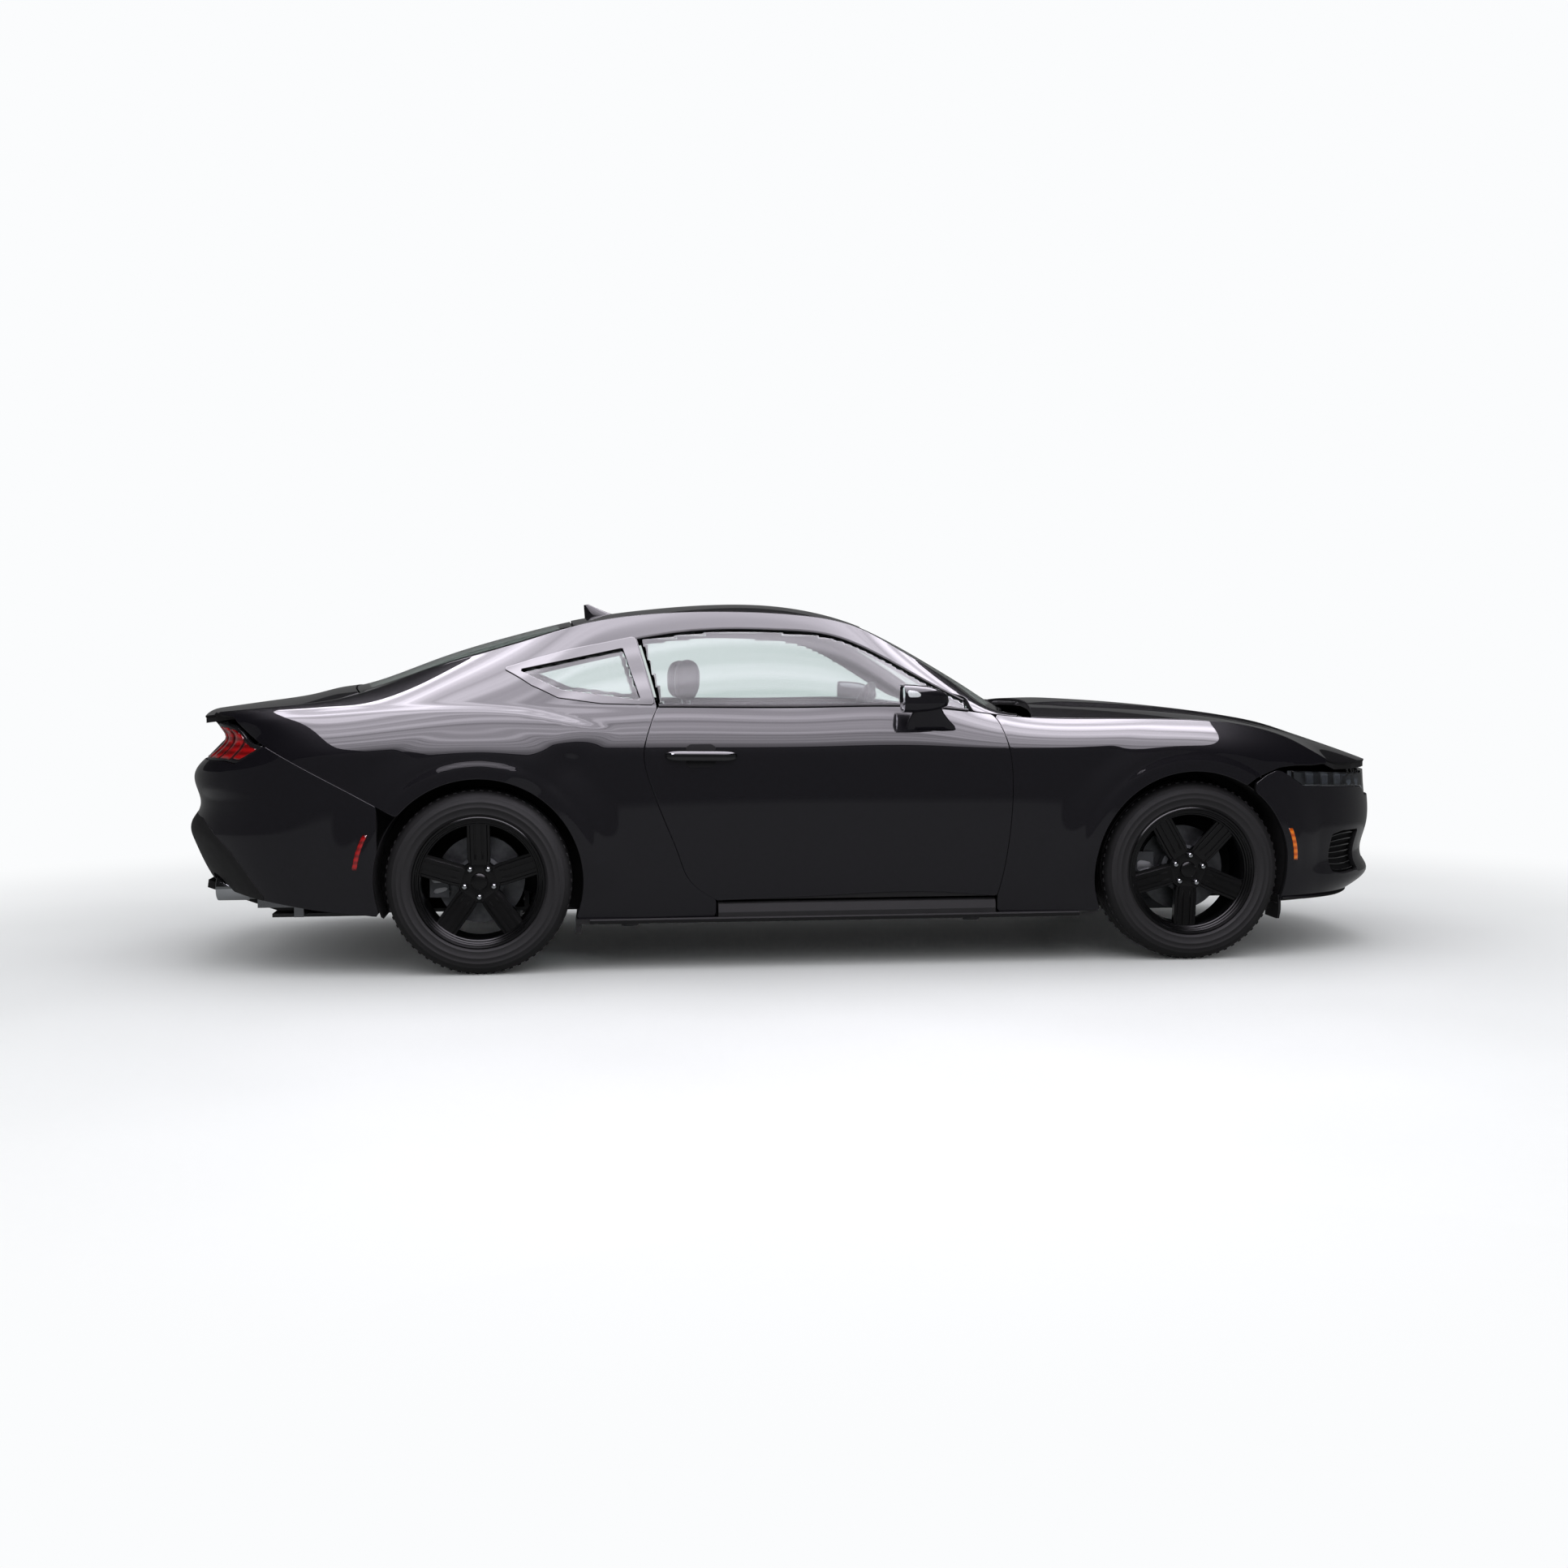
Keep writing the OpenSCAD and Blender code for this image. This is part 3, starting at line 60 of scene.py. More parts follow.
# answer of a maths node, each input a number or a socket
def addMath(tree, operation, *inputs):
    numbers = {k: one for k, one in enumerate(inputs) if isinstance(one, float)}
    sockets = {k: one for k, one in enumerate(inputs) if not isinstance(one, float)}
    return addNode(tree, "ShaderNodeMath", {"operation": operation}, numbers, sockets).outputs[0]


# noise whose grain is its real size in mm
def addNoise(tree, place, grain, detail, roughness=0.5):
    values = {"Scale": 1000 / grain, "Detail": detail, "Roughness": roughness}
    return addNode(tree, "ShaderNodeTexNoise", values=values, links={"Vector": place}).outputs["Fac"]


# a value taken from one range to another
def addRange(tree, value, low, high, fromLow=0.0, fromHigh=1.0):
    values = {"From Min": fromLow, "From Max": fromHigh, "To Min": low, "To Max": high}
    return addNode(tree, "ShaderNodeMapRange", values=values, links={"Value": value}).outputs["Result"]


def addTones(tree, dark, light, share):
    tones = {"A": linear(dark), "B": linear(light)}
    return addNode(tree, "ShaderNodeMix", {"data_type": "RGBA"}, tones, {"Factor": share}).outputs["Result"]


def addRelief(tree, height, strength, depth):
    values = {"Strength": strength, "Distance": depth}
    return addNode(tree, "ShaderNodeBump", values=values, links={"Height": height}).outputs["Normal"]


def newFinish(name, values):
    material = bpy.data.materials.new(name)
    material.use_nodes = True
    tree = material.node_tree
    tree.nodes.clear()
    shader = addNode(tree, "ShaderNodeBsdfPrincipled", values=values)
    addNode(tree, "ShaderNodeOutputMaterial", links={"Surface": shader.outputs["BSDF"]})
    place = addNode(tree, "ShaderNodeTexCoord").outputs["Object"]
    return material, tree, shader, place


def feed(tree, shader, sockets):
    for name, socket in sockets.items():
        tree.links.new(socket, shader.inputs[name])


# two tones mixed by fine and wide noise, with roughness from both and bump from the fine one: grain is in mm
def grainedFinish(name, dark, light, roughness, grain, bump, values=None, spread=0.08):
    material, tree, shader, place = newFinish(name, values or {})
    fine = addNoise(tree, place, grain, 4.0, 0.6)
    wide = addNoise(tree, place, grain * 40, 3.0)
    both = addMath(tree, "MULTIPLY_ADD", fine, 0.5, addMath(tree, "MULTIPLY", wide, 0.5))
    feed(tree, shader, {
        "Base Color": addTones(tree, dark, light, both),
        "Roughness": addRange(tree, both, roughness - spread, roughness + spread, 0.3, 0.7),
        "Normal": addRelief(tree, fine, bump, grain * mm * 0.5)})
    return material


# black body paint under clear coat: deep gloss, faint metal flake whose lighter tone has a violet cast
# painted in as the lilac sheen of the lights, slight orange peel of about 6 mm
def makeBodyPaint():
    material, tree, shader, place = newFinish("blackBodyPaint", {
        "Roughness": 0.4, "Specular IOR Level": 0.05, "Coat Weight": 1.0, "Coat Roughness": 0.02,
        "Coat IOR": 1.45})
    # flake tone varies at random; the violet cast of the lighter flakes is a painted sheen that stands in for
    # the lilac tint of the lights
    flakeAndSheen = addNode(tree, "ShaderNodeTexVoronoi", values={"Scale": 1000 / 1.4}, links={"Vector": place})
    peel = addNoise(tree, place, 6.0, 1.0)
    feed(tree, shader, {
        "Base Color": addTones(tree, "08080A", "15131A", flakeAndSheen.outputs["Distance"]),
        "Coat Normal": addRelief(tree, peel, 0.02, 0.0005)})
    return material


# window glass and lamp covers: clear in the body, lightly tinted, smooth with a trace of dust
def makeGlass(name, tint, roughness=0.0):
    material, tree, shader, place = newFinish(name, {"IOR": 1.45, "Transmission Weight": 1.0})
    dust = addNoise(tree, place, 60.0, 5.0)
    feed(tree, shader, {
        "Roughness": addRange(tree, dust, roughness, roughness + 0.03, 0.45, 0.8),
        "Base Color": addTones(tree, tint, "E4E8E6", addMath(tree, "MULTIPLY", dust, 0.12))})
    return material


# lamp plastic: clear skin over fine moulded ribs
def makeLens(name, dark, light, rib, transmission):
    material, tree, shader, place = newFinish(name, {
        "Roughness": 0.08, "IOR": 1.5, "Transmission Weight": transmission, "Coat Weight": 1.0,
        "Coat Roughness": 0.01})
    ribs = addNode(tree, "ShaderNodeTexWave", {"bands_direction": "Z"},
                   {"Scale": 1000 / rib / 20, "Distortion": 0.0}, {"Vector": place}).outputs["Fac"]
    feed(tree, shader, {
        "Base Color": addTones(tree, dark, light, ribs),
        "Normal": addRelief(tree, ribs, 0.15, 0.001)})
    return material


# leather: pebbled hide of about 2.6 mm with fine creases and a dull sheen
def makeLeather(name, dark, light):
    material, tree, shader, place = newFinish(name, {"Sheen Weight": 0.15, "Sheen Roughness": 0.4})
    pebble = addNode(tree, "ShaderNodeTexVoronoi", {"feature": "DISTANCE_TO_EDGE"}, {"Scale": 1000 / 2.6},
                     {"Vector": place})
    crease = addNoise(tree, place, 45.0, 6.0)
    feed(tree, shader, {
        "Base Color": addTones(tree, dark, light, crease),
        "Roughness": addRange(tree, crease, 0.42, 0.62),
        "Normal": addRelief(tree, pebble.outputs["Distance"], 0.35, 0.0006)})
    return material


# turned metal: fine rings left by the lathe, read from the piece's own radius attribute
def makeTurned(name, dark, light, ring):
    material, tree, shader, place = newFinish(name, bare)
    radius = addNode(tree, "ShaderNodeAttribute", {"attribute_name": "radius"}).outputs["Fac"]
    wave = addMath(tree, "SINE", addMath(tree, "MULTIPLY", radius, 2 * math.pi / (ring * mm)))
    stain = addNoise(tree, place, 25.0, 4.0)
    feed(tree, shader, {
        "Base Color": addTones(tree, dark, light, stain),
        "Roughness": addRange(tree, wave, 0.3, 0.45, -1.0),
        "Normal": addRelief(tree, wave, 0.12, 0.0004)})
    return material


dull, halfDull = {"Specular IOR Level": 0.2}, {"Specular IOR Level": 0.35}
bare = {"Metallic": 1.0}
finishes = {
    "paint": makeBodyPaint(),
    "gloss": grainedFinish("glossBlackAbs", "08080A", "121214", 0.12, 6.0, 0.02, {"Coat Weight": 0.6}, 0.03),
    "trim": grainedFinish("grainedBlackPolypropylene", "0D0D0E", "19191A", 0.55, 0.9, 0.35,
                          {"Specular IOR Level": 0.3}),
    "rubber": grainedFinish("tyreRubber", "09090A", "171718", 0.72, 1.6, 0.3, halfDull),
    "wheel": grainedFinish("glossBlackWheelEnamel", "060607", "0C0C0D", 0.2, 4.0, 0.03, halfDull, 0.05),
    "chrome": grainedFinish("chromedSteel", "B9BCC0", "D6D9DC", 0.07, 3.0, 0.02, bare, 0.03),
    "steel": grainedFinish("brushedStainlessSteel", "7E8083", "A3A5A8", 0.3, 1.2, 0.1, bare),
    "iron": grainedFinish("castIronPaint", "303235", "55585B", 0.55, 2.2, 0.4, {"Metallic": 0.3}),
    "alloy": grainedFinish("castAluminium", "8B8D8F", "B4B6B8", 0.42, 1.8, 0.35, {"Metallic": 0.9}),
    "disc": makeTurned("turnedDiscIron", "46484A", "77797B", 1.6),
    "hem": grainedFinish("dullBlackPrimer", "08080A", "101012", 0.7, 1.2, 0.15, dull),
    "liner": grainedFinish("feltArchLiner", "060607", "0E0E0F", 0.9, 2.4, 0.6),
    "underbody": grainedFinish("underbodySealer", "1C1D1E", "343536", 0.8, 3.0, 0.5),
    "carpet": grainedFinish("tuftedCarpet", "0E0E10", "242428", 0.92, 2.0, 0.8),
    "frit": grainedFinish("blackCeramicFrit", "050506", "0B0B0C", 0.1, 5.0, 0.01, {"Coat Weight": 0.5}, 0.02),
    "mirror": grainedFinish("silveredMirror", "C8CCD0", "D4D8DC", 0.02, 8.0, 0.0, bare, 0.01),
    "leather": makeLeather("blackGrainLeather", "101012", "242426"),
    "dash": makeLeather("mouldedDashSkin", "151517", "26262A"),
    "glass": makeGlass("tintedSideGlass", "D3DDDA"),
    "screen": makeGlass("laminatedScreen", "C4D0CB"),
    "redLens": makeLens("redAcrylicLens", "6E0508", "A80D12", 4.0, 0.15),
    "amberLens": makeLens("amberAcrylicLens", "B84A06", "E87A12", 4.0, 0.1),
    "lampBlack": grainedFinish("smokedLampBezel", "101012", "1D1D20", 0.25, 2.5, 0.1),
    "lampGrey": grainedFinish("satinLampHousing", "3C3F44", "5A5D63", 0.35, 2.5, 0.1),
    "smokedLens": makeGlass("smokedPolycarbonate", "8C9096", 0.02),
    "lightGuide": grainedFinish("frostedLightGuide", "C9CDD2", "E2E5E8", 0.3, 2.0, 0.1,
                                {"Transmission Weight": 0.2}),
    "reflector": grainedFinish("vacuumChromedReflector", "9EA2A8", "C4C8CE", 0.12, 2.0, 0.05, bare, 0.04),
}
print("finishes made:", len(finishes))


# natural cubic spline through rows of place and value, as in the solids
def spline(xs, ys):
    xs, ys = np.asarray(xs, float), np.asarray(ys, float)
    h = np.diff(xs)
    n = len(xs)
    a, b = np.eye(n), np.zeros(n)
    for i in range(1, n - 1):
        a[i, i - 1:i + 2] = h[i - 1] / 6, (h[i - 1] + h[i]) / 3, h[i] / 6
        b[i] = (ys[i + 1] - ys[i]) / h[i] - (ys[i] - ys[i - 1]) / h[i - 1]
    m = np.linalg.solve(a, b)

    def value(t):
        t = np.asarray(t, float)
        i = np.clip(np.searchsorted(xs, t, side="right") - 1, 0, n - 2)
        p = (xs[i + 1] - t) / h[i]
        q = 1 - p
        return p * ys[i] + q * ys[i + 1] + ((p ** 3 - p) * m[i] + (q ** 3 - q) * m[i + 1]) * h[i] ** 2 / 6
    return value


def mix(a, b, t):
    return a + (b - a) * t


def ease(t):
    u = np.clip(t, 0, 1)
    return u * u * (3 - 2 * u)


def stack(x, y, z):
    x, y, z = np.broadcast_arrays(x, y, z)
    return np.stack([x, y, z], -1).astype(float)


# lines of the body in mm, the same as the solids have
bodyLines = {
    # x, rocker y, waist z, waist y, top edge z, top edge y
    "side": [[-2250, 850, 770, 905, 962, 905], [-1900, 885, 800, 938, 985, 806],
             [-1600, 900, 820, 941, 1003, 812], [-1260, 905, 825, 931, 1003, 838],
             [-900, 895, 815, 938, 992, 848], [-600, 885, 808, 935, 990, 852],
             [0, 880, 808, 934, 985, 850], [450, 882, 812, 936, 980, 848], [800, 885, 815, 939, 942, 808],
             [1100, 893, 815, 937, 932, 802], [1460, 905, 810, 925, 925, 808],
             [1700, 900, 780, 930, 900, 820], [1900, 888, 735, 932, 835, 859],
             [2060, 875, 690, 915, 752, 905]],
    # x, y, z, bow of the centre line in x, its z
    "rail": [[-2300, 585, 962, -36, 985], [-2116, 648, 984, -14, 1013], [-1921, 632, 1003, -28, 1042],
             [-1800, 592, 1024, -50, 1066], [-1726, 545, 1047, -60, 1075], [-1417, 545, 1150, -45, 1183],
             [-1108, 555, 1238, -30, 1280], [-900, 562, 1300, -20, 1332], [-600, 570, 1345, 0, 1377],
             [-300, 576, 1352, 0, 1397], [0, 585, 1335, 10, 1377], [215, 603, 1285, 40, 1306],
             [350, 622, 1212, 75, 1224], [500, 648, 1119, 105, 1120], [600, 668, 1048, 120, 1050],
             [730, 700, 952, 140, 965], [850, 715, 932, 150, 940]],
    "window": [[-1153, 1137], [-900, 1190], [-660, 1240], [-500, 1266], [-300, 1279], [-100, 1274],
               [100, 1250], [300, 1158], [500, 1040], [608, 984]],
    # z, x at the front, x at the rear
    "door": [[262, 698, -372], [300, 708, -432], [420, 731, -508], [560, 746, -562], [700, 750, -615],
             [820, 738, -640], [900, 718, -622], [960, 685, -600], [990, 640, -586]],
    "nose": [[215, 2290], [255, 2365], [295, 2405.5], [345, 2382], [480, 2396], [640, 2394], [745, 2388]],
    "tail": [[240, -2250], [350, -2330], [480, -2392], [535, -2405.5], [620, -2372], [740, -2392],
             [800, -2345], [885, -2262], [950, -2318], [1000, -2338]],
    "crease": [[-2250, 955], [-1900, 984], [-1600, 1002], [-1300, 1003], [-1100, 990], [-900, 950],
               [-715, 905], [-600, 870]],
    "hood": [[850, 1003], [1300, 980], [1650, 942], [1950, 888], [2150, 832], [2300, 780], [2400, 740]],
    "hoodSide": [[850, 938], [1100, 932], [1460, 925], [1700, 900], [1900, 835], [2046, 760], [2256, 700],
                 [2400, 650]],
}
frontAxle, rearAxle, axleHeight, archRadius = 1460.5, -1259.5, 345.0, 388.0
sideRows = np.array(bodyLines["side"], float)
railRows = np.array(bodyLines["rail"], float)
doorRows = np.array(bodyLines["door"], float)
rockerY, waistZ, waistY, edgeZ, edgeY = [spline(sideRows[:, 0], sideRows[:, k]) for k in range(1, 6)]
railY, railZ, crownBow, crownZ = [spline(railRows[:, 0], railRows[:, k]) for k in range(1, 5)]
doorFront, doorRear = [spline(doorRows[:, 0], doorRows[:, k]) for k in (1, 2)]
windowZ, noseX, tailX, creaseZ, hoodMid, hoodSide = [
    spline(*np.array(bodyLines[k], float).T)
    for k in ("window", "nose", "tail", "crease", "hood", "hoodSide")]
noseStart, noseA, noseB = 1500.0, 2.4, 2.6
tailStart, tailA, tailB = -1750.0, 2.6, 3.6


# swell of the body towards each wheel arch, ending in a flat lip round the opening
def archSwell(x, z):
    r = np.minimum(np.hypot(x - frontAxle, z - axleHeight), np.hypot(x - rearAxle, z - axleHeight))
    reach = r - archRadius - 62
    return (15 * ease(1 - reach / 130) + 7 * ease(0.3 - reach / 40)) * ease((z - 260) / 200)


def sectionY(x, z):
    zw, yw = waistZ(x), waistY(x)
    low = yw - (yw - rockerY(x)) * np.maximum((zw - z) / (zw - 200), 0) ** 2.2
    high = yw - (yw - edgeY(x)) * np.maximum((z - zw) / (edgeZ(x) - zw), 0) ** 2
    return np.where(z <= zw, low, high) + archSwell(x, z)


def noseFactor(x, z):
    u = np.clip((x - noseStart) / (noseX(z) - noseStart), 0, 1)
    return (1 - u ** noseA) ** (1 / noseB)


def tailFactor(x, z):
    u = np.clip((tailStart - x) / (tailStart - tailX(z)), 0, 1)
    return (1 - u ** tailA) ** (1 / tailB)


def haunch(x, z):
    return 15 * ease((creaseZ(x) - z) / 22) * ease((-715 - np.maximum(0, 905 - z) * 1.3 - x) / 230)


def sideY(x, z):
    y = sectionY(x, z) + haunch(x, z) - 15 * ease((-600 - x) / 300)
    return y * noseFactor(x, np.minimum(z, 745)) * tailFactor(x, z)


def edgePoint(x):
    z = edgeZ(x)
    return stack(x, sideY(x, z), z)


def railPoint(x):
    return stack(x, railY(x), railZ(x))


def upperPoint(x, s, sink=0.0):
    e, r = edgePoint(x), railPoint(x)
    d = r - e
    length = np.linalg.norm(d, axis=-1)
    normal = stack(0 * x, d[..., 2] / length, -d[..., 1] / length)
    s = np.asarray(s, float)
    return e + d * s[..., None] + normal * (14 * 4 * s * (1 - s) - sink)[..., None]


def upperRise(x):
    return np.linalg.norm(railPoint(x) - edgePoint(x), axis=-1)


def windowShare(x):
    u = np.minimum(x, 608)
    e, r = edgeZ(u), railZ(u)
    return (windowZ(u) - e) / (r - e)


def crownPoint(x, t):
    k = 1 - t * t
    return stack(x + crownBow(x) * k, railY(x) * t, mix(railZ(x), crownZ(x), k))


# side of the car: x and the height over the top edge, below it on the body side, above it on the pillars
def bodySide(x, w, sink=0.0):
    e = edgeZ(x)
    z = np.minimum(e + w, e)
    low = stack(x, sideY(x, z) - sink, z)
    high = upperPoint(x, np.maximum(w, 0) / upperRise(x), sink)
    return np.where((w <= 0)[..., None], low, high)


def lowSectionY(x, z):
    return sectionY(x, np.minimum(z, waistZ(x)))


def nosePoint(turn, z, depth=0.0):
    c, s = np.maximum(np.cos(turn), 0), np.sin(turn)
    x = noseStart + (noseX(z) - noseStart) * s ** (2 / noseA)
    y = lowSectionY(np.minimum(x, 2000), z) * c ** (2 / noseB)
    return stack(x - depth * s, y - depth * c, z)


def tailPoint(turn, z, depth=0.0):
    a = np.maximum(turn, 0)
    c, s = np.maximum(np.cos(a), 0), np.sin(a)
    x = tailStart - np.degrees(np.minimum(turn, 0)) * 12 + (tailX(z) - tailStart) * s ** (2 / tailA)
    y = lowSectionY(np.maximum(x, -2200), z) * c ** (2 / tailB)
    return stack(x + depth * s, y - depth * c, z)


# ways to walk round the nose and the tail by distance from the centre line, in mm
def roundWalk(point, turnStart, height):
    turns = np.radians(np.concatenate([np.linspace(turnStart, 80, 400), np.linspace(80, 90, 300)[1:]]))
    places = point(turns, np.full(turns.shape, float(height)))
    steps = np.linalg.norm(np.diff(places, axis=0), axis=1)
    length = np.concatenate([[0], np.cumsum(steps)])
    length = length[-1] - length
    return lambda a: np.interp(np.abs(a), length[::-1], turns[::-1]), length[0], \
        lambda degrees: float(np.interp(math.radians(degrees), turns, length))


noseTurn, noseReach, noseWay = roundWalk(nosePoint, 6, 450)
tailTurn, tailReach, tailWay = roundWalk(tailPoint, -10, 650)


def noseSkin(a, z, depth=0.0):
    p = nosePoint(noseTurn(a), z, depth)
    p[..., 1] *= np.where(a < 0, -1, 1)
    return p


def tailSkin(a, z, depth=0.0):
    p = tailPoint(tailTurn(a), z, depth)
    p[..., 1] *= np.where(a < 0, -1, 1)
    return p


# distance inside a closed outline, positive within
def outlineRoom(points):
    pts = np.asarray(points, float)

    def room(u, v):
        shape = np.shape(u)
        q = np.stack([np.ravel(u), np.ravel(v)], 1)
        best = np.full(len(q), 1e18)
        inside = np.zeros(len(q), bool)
        for a, b in zip(pts, np.roll(pts, -1, 0)):
            d = b - a
            t = np.clip(((q - a) @ d) / max(d @ d, 1e-12), 0, 1)
            best = np.minimum(best, ((q - a - t[:, None] * d) ** 2).sum(1))
            cross = (a[1] > q[:, 1]) != (b[1] > q[:, 1])
            if d[1] != 0:
                inside ^= cross & (q[:, 0] < d[0] * (q[:, 1] - a[1]) / d[1] + a[0])
        return np.where(inside, 1, -1).reshape(shape) * np.sqrt(best).reshape(shape)
    return room


def flatArea(u, v, face):
    (x0, x1, x2), (y0, y1, y2) = u[face], v[face]
    return 0.5 * ((x1 - x0) * (y2 - y0) - (x2 - x0) * (y1 - y0))


# faces with no corner turned over: a four-sided one with a bad corner is split the better way or dropped
def cleanFaces(u, v, faces, least):
    kept = []
    for face in faces:
        if len(face) == 3:
            if flatArea(u, v, face) > least:
                kept.append(face)
            continue
        a, b, c, d = face
        corners = [flatArea(u, v, t) for t in ([d, a, b], [a, b, c], [b, c, d], [c, d, a])]
        if min(corners) > least:
            kept.append(face)
            continue
        ways = ([[a, b, c], [a, c, d]], [[a, b, d], [b, c, d]])
        areas = ([corners[1], corners[3]], [corners[0], corners[2]])
        pick = 0 if min(areas[0]) > min(areas[1]) else 1
        kept += [t for t, area in zip(ways[pick], areas[pick]) if area > least]
    return kept


def toEdge(u, v, room, inset):
    gu = (room(u + 0.4, v) - room(u - 0.4, v)) / 0.8
    gv = (room(u, v + 0.4) - room(u, v - 0.4)) / 0.8
    g2 = np.maximum(gu * gu + gv * gv, 0.3)
    step = room(u, v) - inset
    return step * gu / g2, step * gv / g2


# grid of cells cut to a shape: its rim is drawn onto the shape's edge and evened, the rest stays square
def cutGrid(us, vs, room, inset):
    u, v = np.meshgrid(us, vs, indexing="ij")
    wide, high = np.diff(us).max(), np.diff(vs).max()
    cell, limit = wide * high, 0.62 * min(wide, high)
    f = room(u, v) - inset
    near = np.abs(f) < 0.62 * max(wide, high)
    for turn in range(2):
        du, dv = toEdge(u, v, room, inset)
        u = u - np.where(near, np.clip(du, -limit, limit), 0)
        v = v - np.where(near, np.clip(dv, -limit, limit), 0)
    keep = ((f > 0) | near).ravel()
    index = np.arange(u.size).reshape(u.shape)
    corners = np.stack([index[:-1, :-1], index[1:, :-1], index[1:, 1:], index[:-1, 1:]], -1).reshape(-1, 4)
    good = keep[corners]
    faces = corners[good.sum(1) == 4].tolist()
    faces += [q[g].tolist() for q, g in zip(corners[good.sum(1) == 3], good[good.sum(1) == 3])]
    u, v = u.ravel(), v.ravel()
    for least in (0.12, 0.08, 0.05):
        faces = cleanFaces(u, v, faces, least * cell)
        beside = {}
        for a, b in rimEdges(faces):
            beside.setdefault(a, []).append(b)
            beside.setdefault(b, []).append(a)
        rim = np.array([k for k, both in beside.items() if len(both) == 2])
        pairs = np.array([beside[k] for k in rim])
        for turn in range(4):
            u[rim] = 0.5 * u[rim] + 0.25 * u[pairs].sum(1)
            v[rim] = 0.5 * v[rim] + 0.25 * v[pairs].sum(1)
            du, dv = toEdge(u[rim], v[rim], room, inset)
            u[rim] -= np.clip(du, -limit, limit)
            v[rim] -= np.clip(dv, -limit, limit)
    faces = cleanFaces(u, v, faces, 0.002 * cell)
    used = np.unique(np.concatenate([np.ravel(x) for x in faces]))
    remap = np.full(u.size, -1)
    remap[used] = np.arange(len(used))
    return u[used], v[used], [[int(remap[k]) for k in face] for face in faces]


def faceNormals(points, faces):
    normals = np.zeros_like(points)
    for size in (3, 4):
        group = np.array([f for f in faces if len(f) == size])
        if len(group):
            corner = points[group[:, 0]]
            n = np.cross(points[group[:, 1]] - corner, points[group[:, -1]] - corner)
            for k in range(size):
                np.add.at(normals, group[:, k], n)
    return normals / np.maximum(np.linalg.norm(normals, axis=1, keepdims=True), 1e-9)


def rimEdges(faces):
    seen = {}
    for face in faces:
        for a, b in zip(face, face[1:] + face[:1]):
            key = (min(a, b), max(a, b))
            seen[key] = None if key in seen else (a, b)
    return [e for e in seen.values() if e]


# pressed panel: its rim rolls over and goes down by hem, in mm, to an inner sheet
# marks are 0 outside and 1 within
def rollRim(points, faces, hem, reach=2.2, within=None):
    normals = faceNormals(points, faces)
    edges = rimEdges(faces)
    out = np.zeros_like(points)
    for a, b in edges:
        side = np.cross(points[b] - points[a], (normals[a] + normals[b]) / 2)
        side /= max(np.linalg.norm(side), 1e-9)
        out[a] += side
        out[b] += side
    rim = sorted({k for e in edges for k in e})
    out[rim] /= np.maximum(np.linalg.norm(out[rim], axis=1, keepdims=True), 1e-9)
    rings = [(reach, 0.0), (reach + 0.9, 0.5), (reach + 1.3, 1.6), (reach + 1.3, hem * 0.8)]
    start, count = len(points), len(rim)
    place = {k: i for i, k in enumerate(rim)}
    extra = [points[rim] + out[rim] * o - normals[rim] * d for o, d in rings]
    inner = points - (normals * hem if within is None else within)
    under = start + len(rings) * count
    top = list(faces)
    marks = [0] * len(top)
    for step in range(len(rings) + 1):
        for a, b in edges:
            upper = [a, b] if step == 0 else [start + (step - 1) * count + place[k] for k in (a, b)]
            lower = [start + step * count + place[k] for k in (b, a)]
            if step == len(rings):
                lower = [under + b, under + a]
            top.append((upper + lower)[::-1])
            marks.append(0 if step < 2 else 1)
    top += [[under + k for k in reversed(face)] for face in faces]
    marks += [1] * len(faces)
    return np.concatenate([points] + extra + [inner]), top, marks


# sheet of glass or plastic: a second skin at depth t, joined along the rim
def thicken(points, faces, t):
    normals = faceNormals(points, faces)
    n = len(points)
    back = [[k + n for k in reversed(face)] for face in faces]
    sides = [[b, a, a + n, b + n] for a, b in rimEdges(faces)]
    return np.concatenate([points, points - normals * t]), list(faces) + back + sides


def fixNormals(obj, angle):
    work = bmesh.new()
    work.from_mesh(obj.data)
    bmesh.ops.recalc_face_normals(work, faces=work.faces)
    work.to_mesh(obj.data)
    work.free()
    obj.data.set_sharp_from_angle(angle=math.radians(angle))


# one piece on its body, in mm; sharp is the angle of its hard edges once its faces are turned outward
def makePiece(name, points, faces, finish, body, slot, replaces=(), marks=None, flip=False, sharp=None):
    mesh = bpy.data.meshes.new(name)
    wound = [list(reversed(f)) if flip else f for f in faces]
    mesh.from_pydata((np.asarray(points) * mm).tolist(), [], wound)
    if marks is not None:
        mesh.polygons.foreach_set("material_index", marks)
    mesh.validate()
    mesh.update()
    obj = bpy.data.objects.new(name, mesh)
    bpy.context.scene.collection.objects.link(obj)
    for one in finish if isinstance(finish, (list, tuple)) else [finish]:
        mesh.materials.append(finishes[one])
    mesh.shade_smooth()
    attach(obj, body)
    if replaces:
        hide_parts(*replaces)
    if sharp:
        fixNormals(obj, sharp)
    return obj


fixed, doors = ("chassis", "chassis"), ("door_left", "door_right")


# the same piece on both sides: points are for the left
def makePair(name, points, faces, finish, bodies, slot, replaces=((), ()), marks=None, sharp=None):
    left = makePiece(name + "Left", points, faces, finish, bodies[0], slot, replaces[0], marks, sharp=sharp)
    right = makePiece(name + "Right", np.asarray(points) * [1, -1, 1], faces, finish, bodies[1], slot,
                      replaces[1], marks, True, sharp)
    return left, right


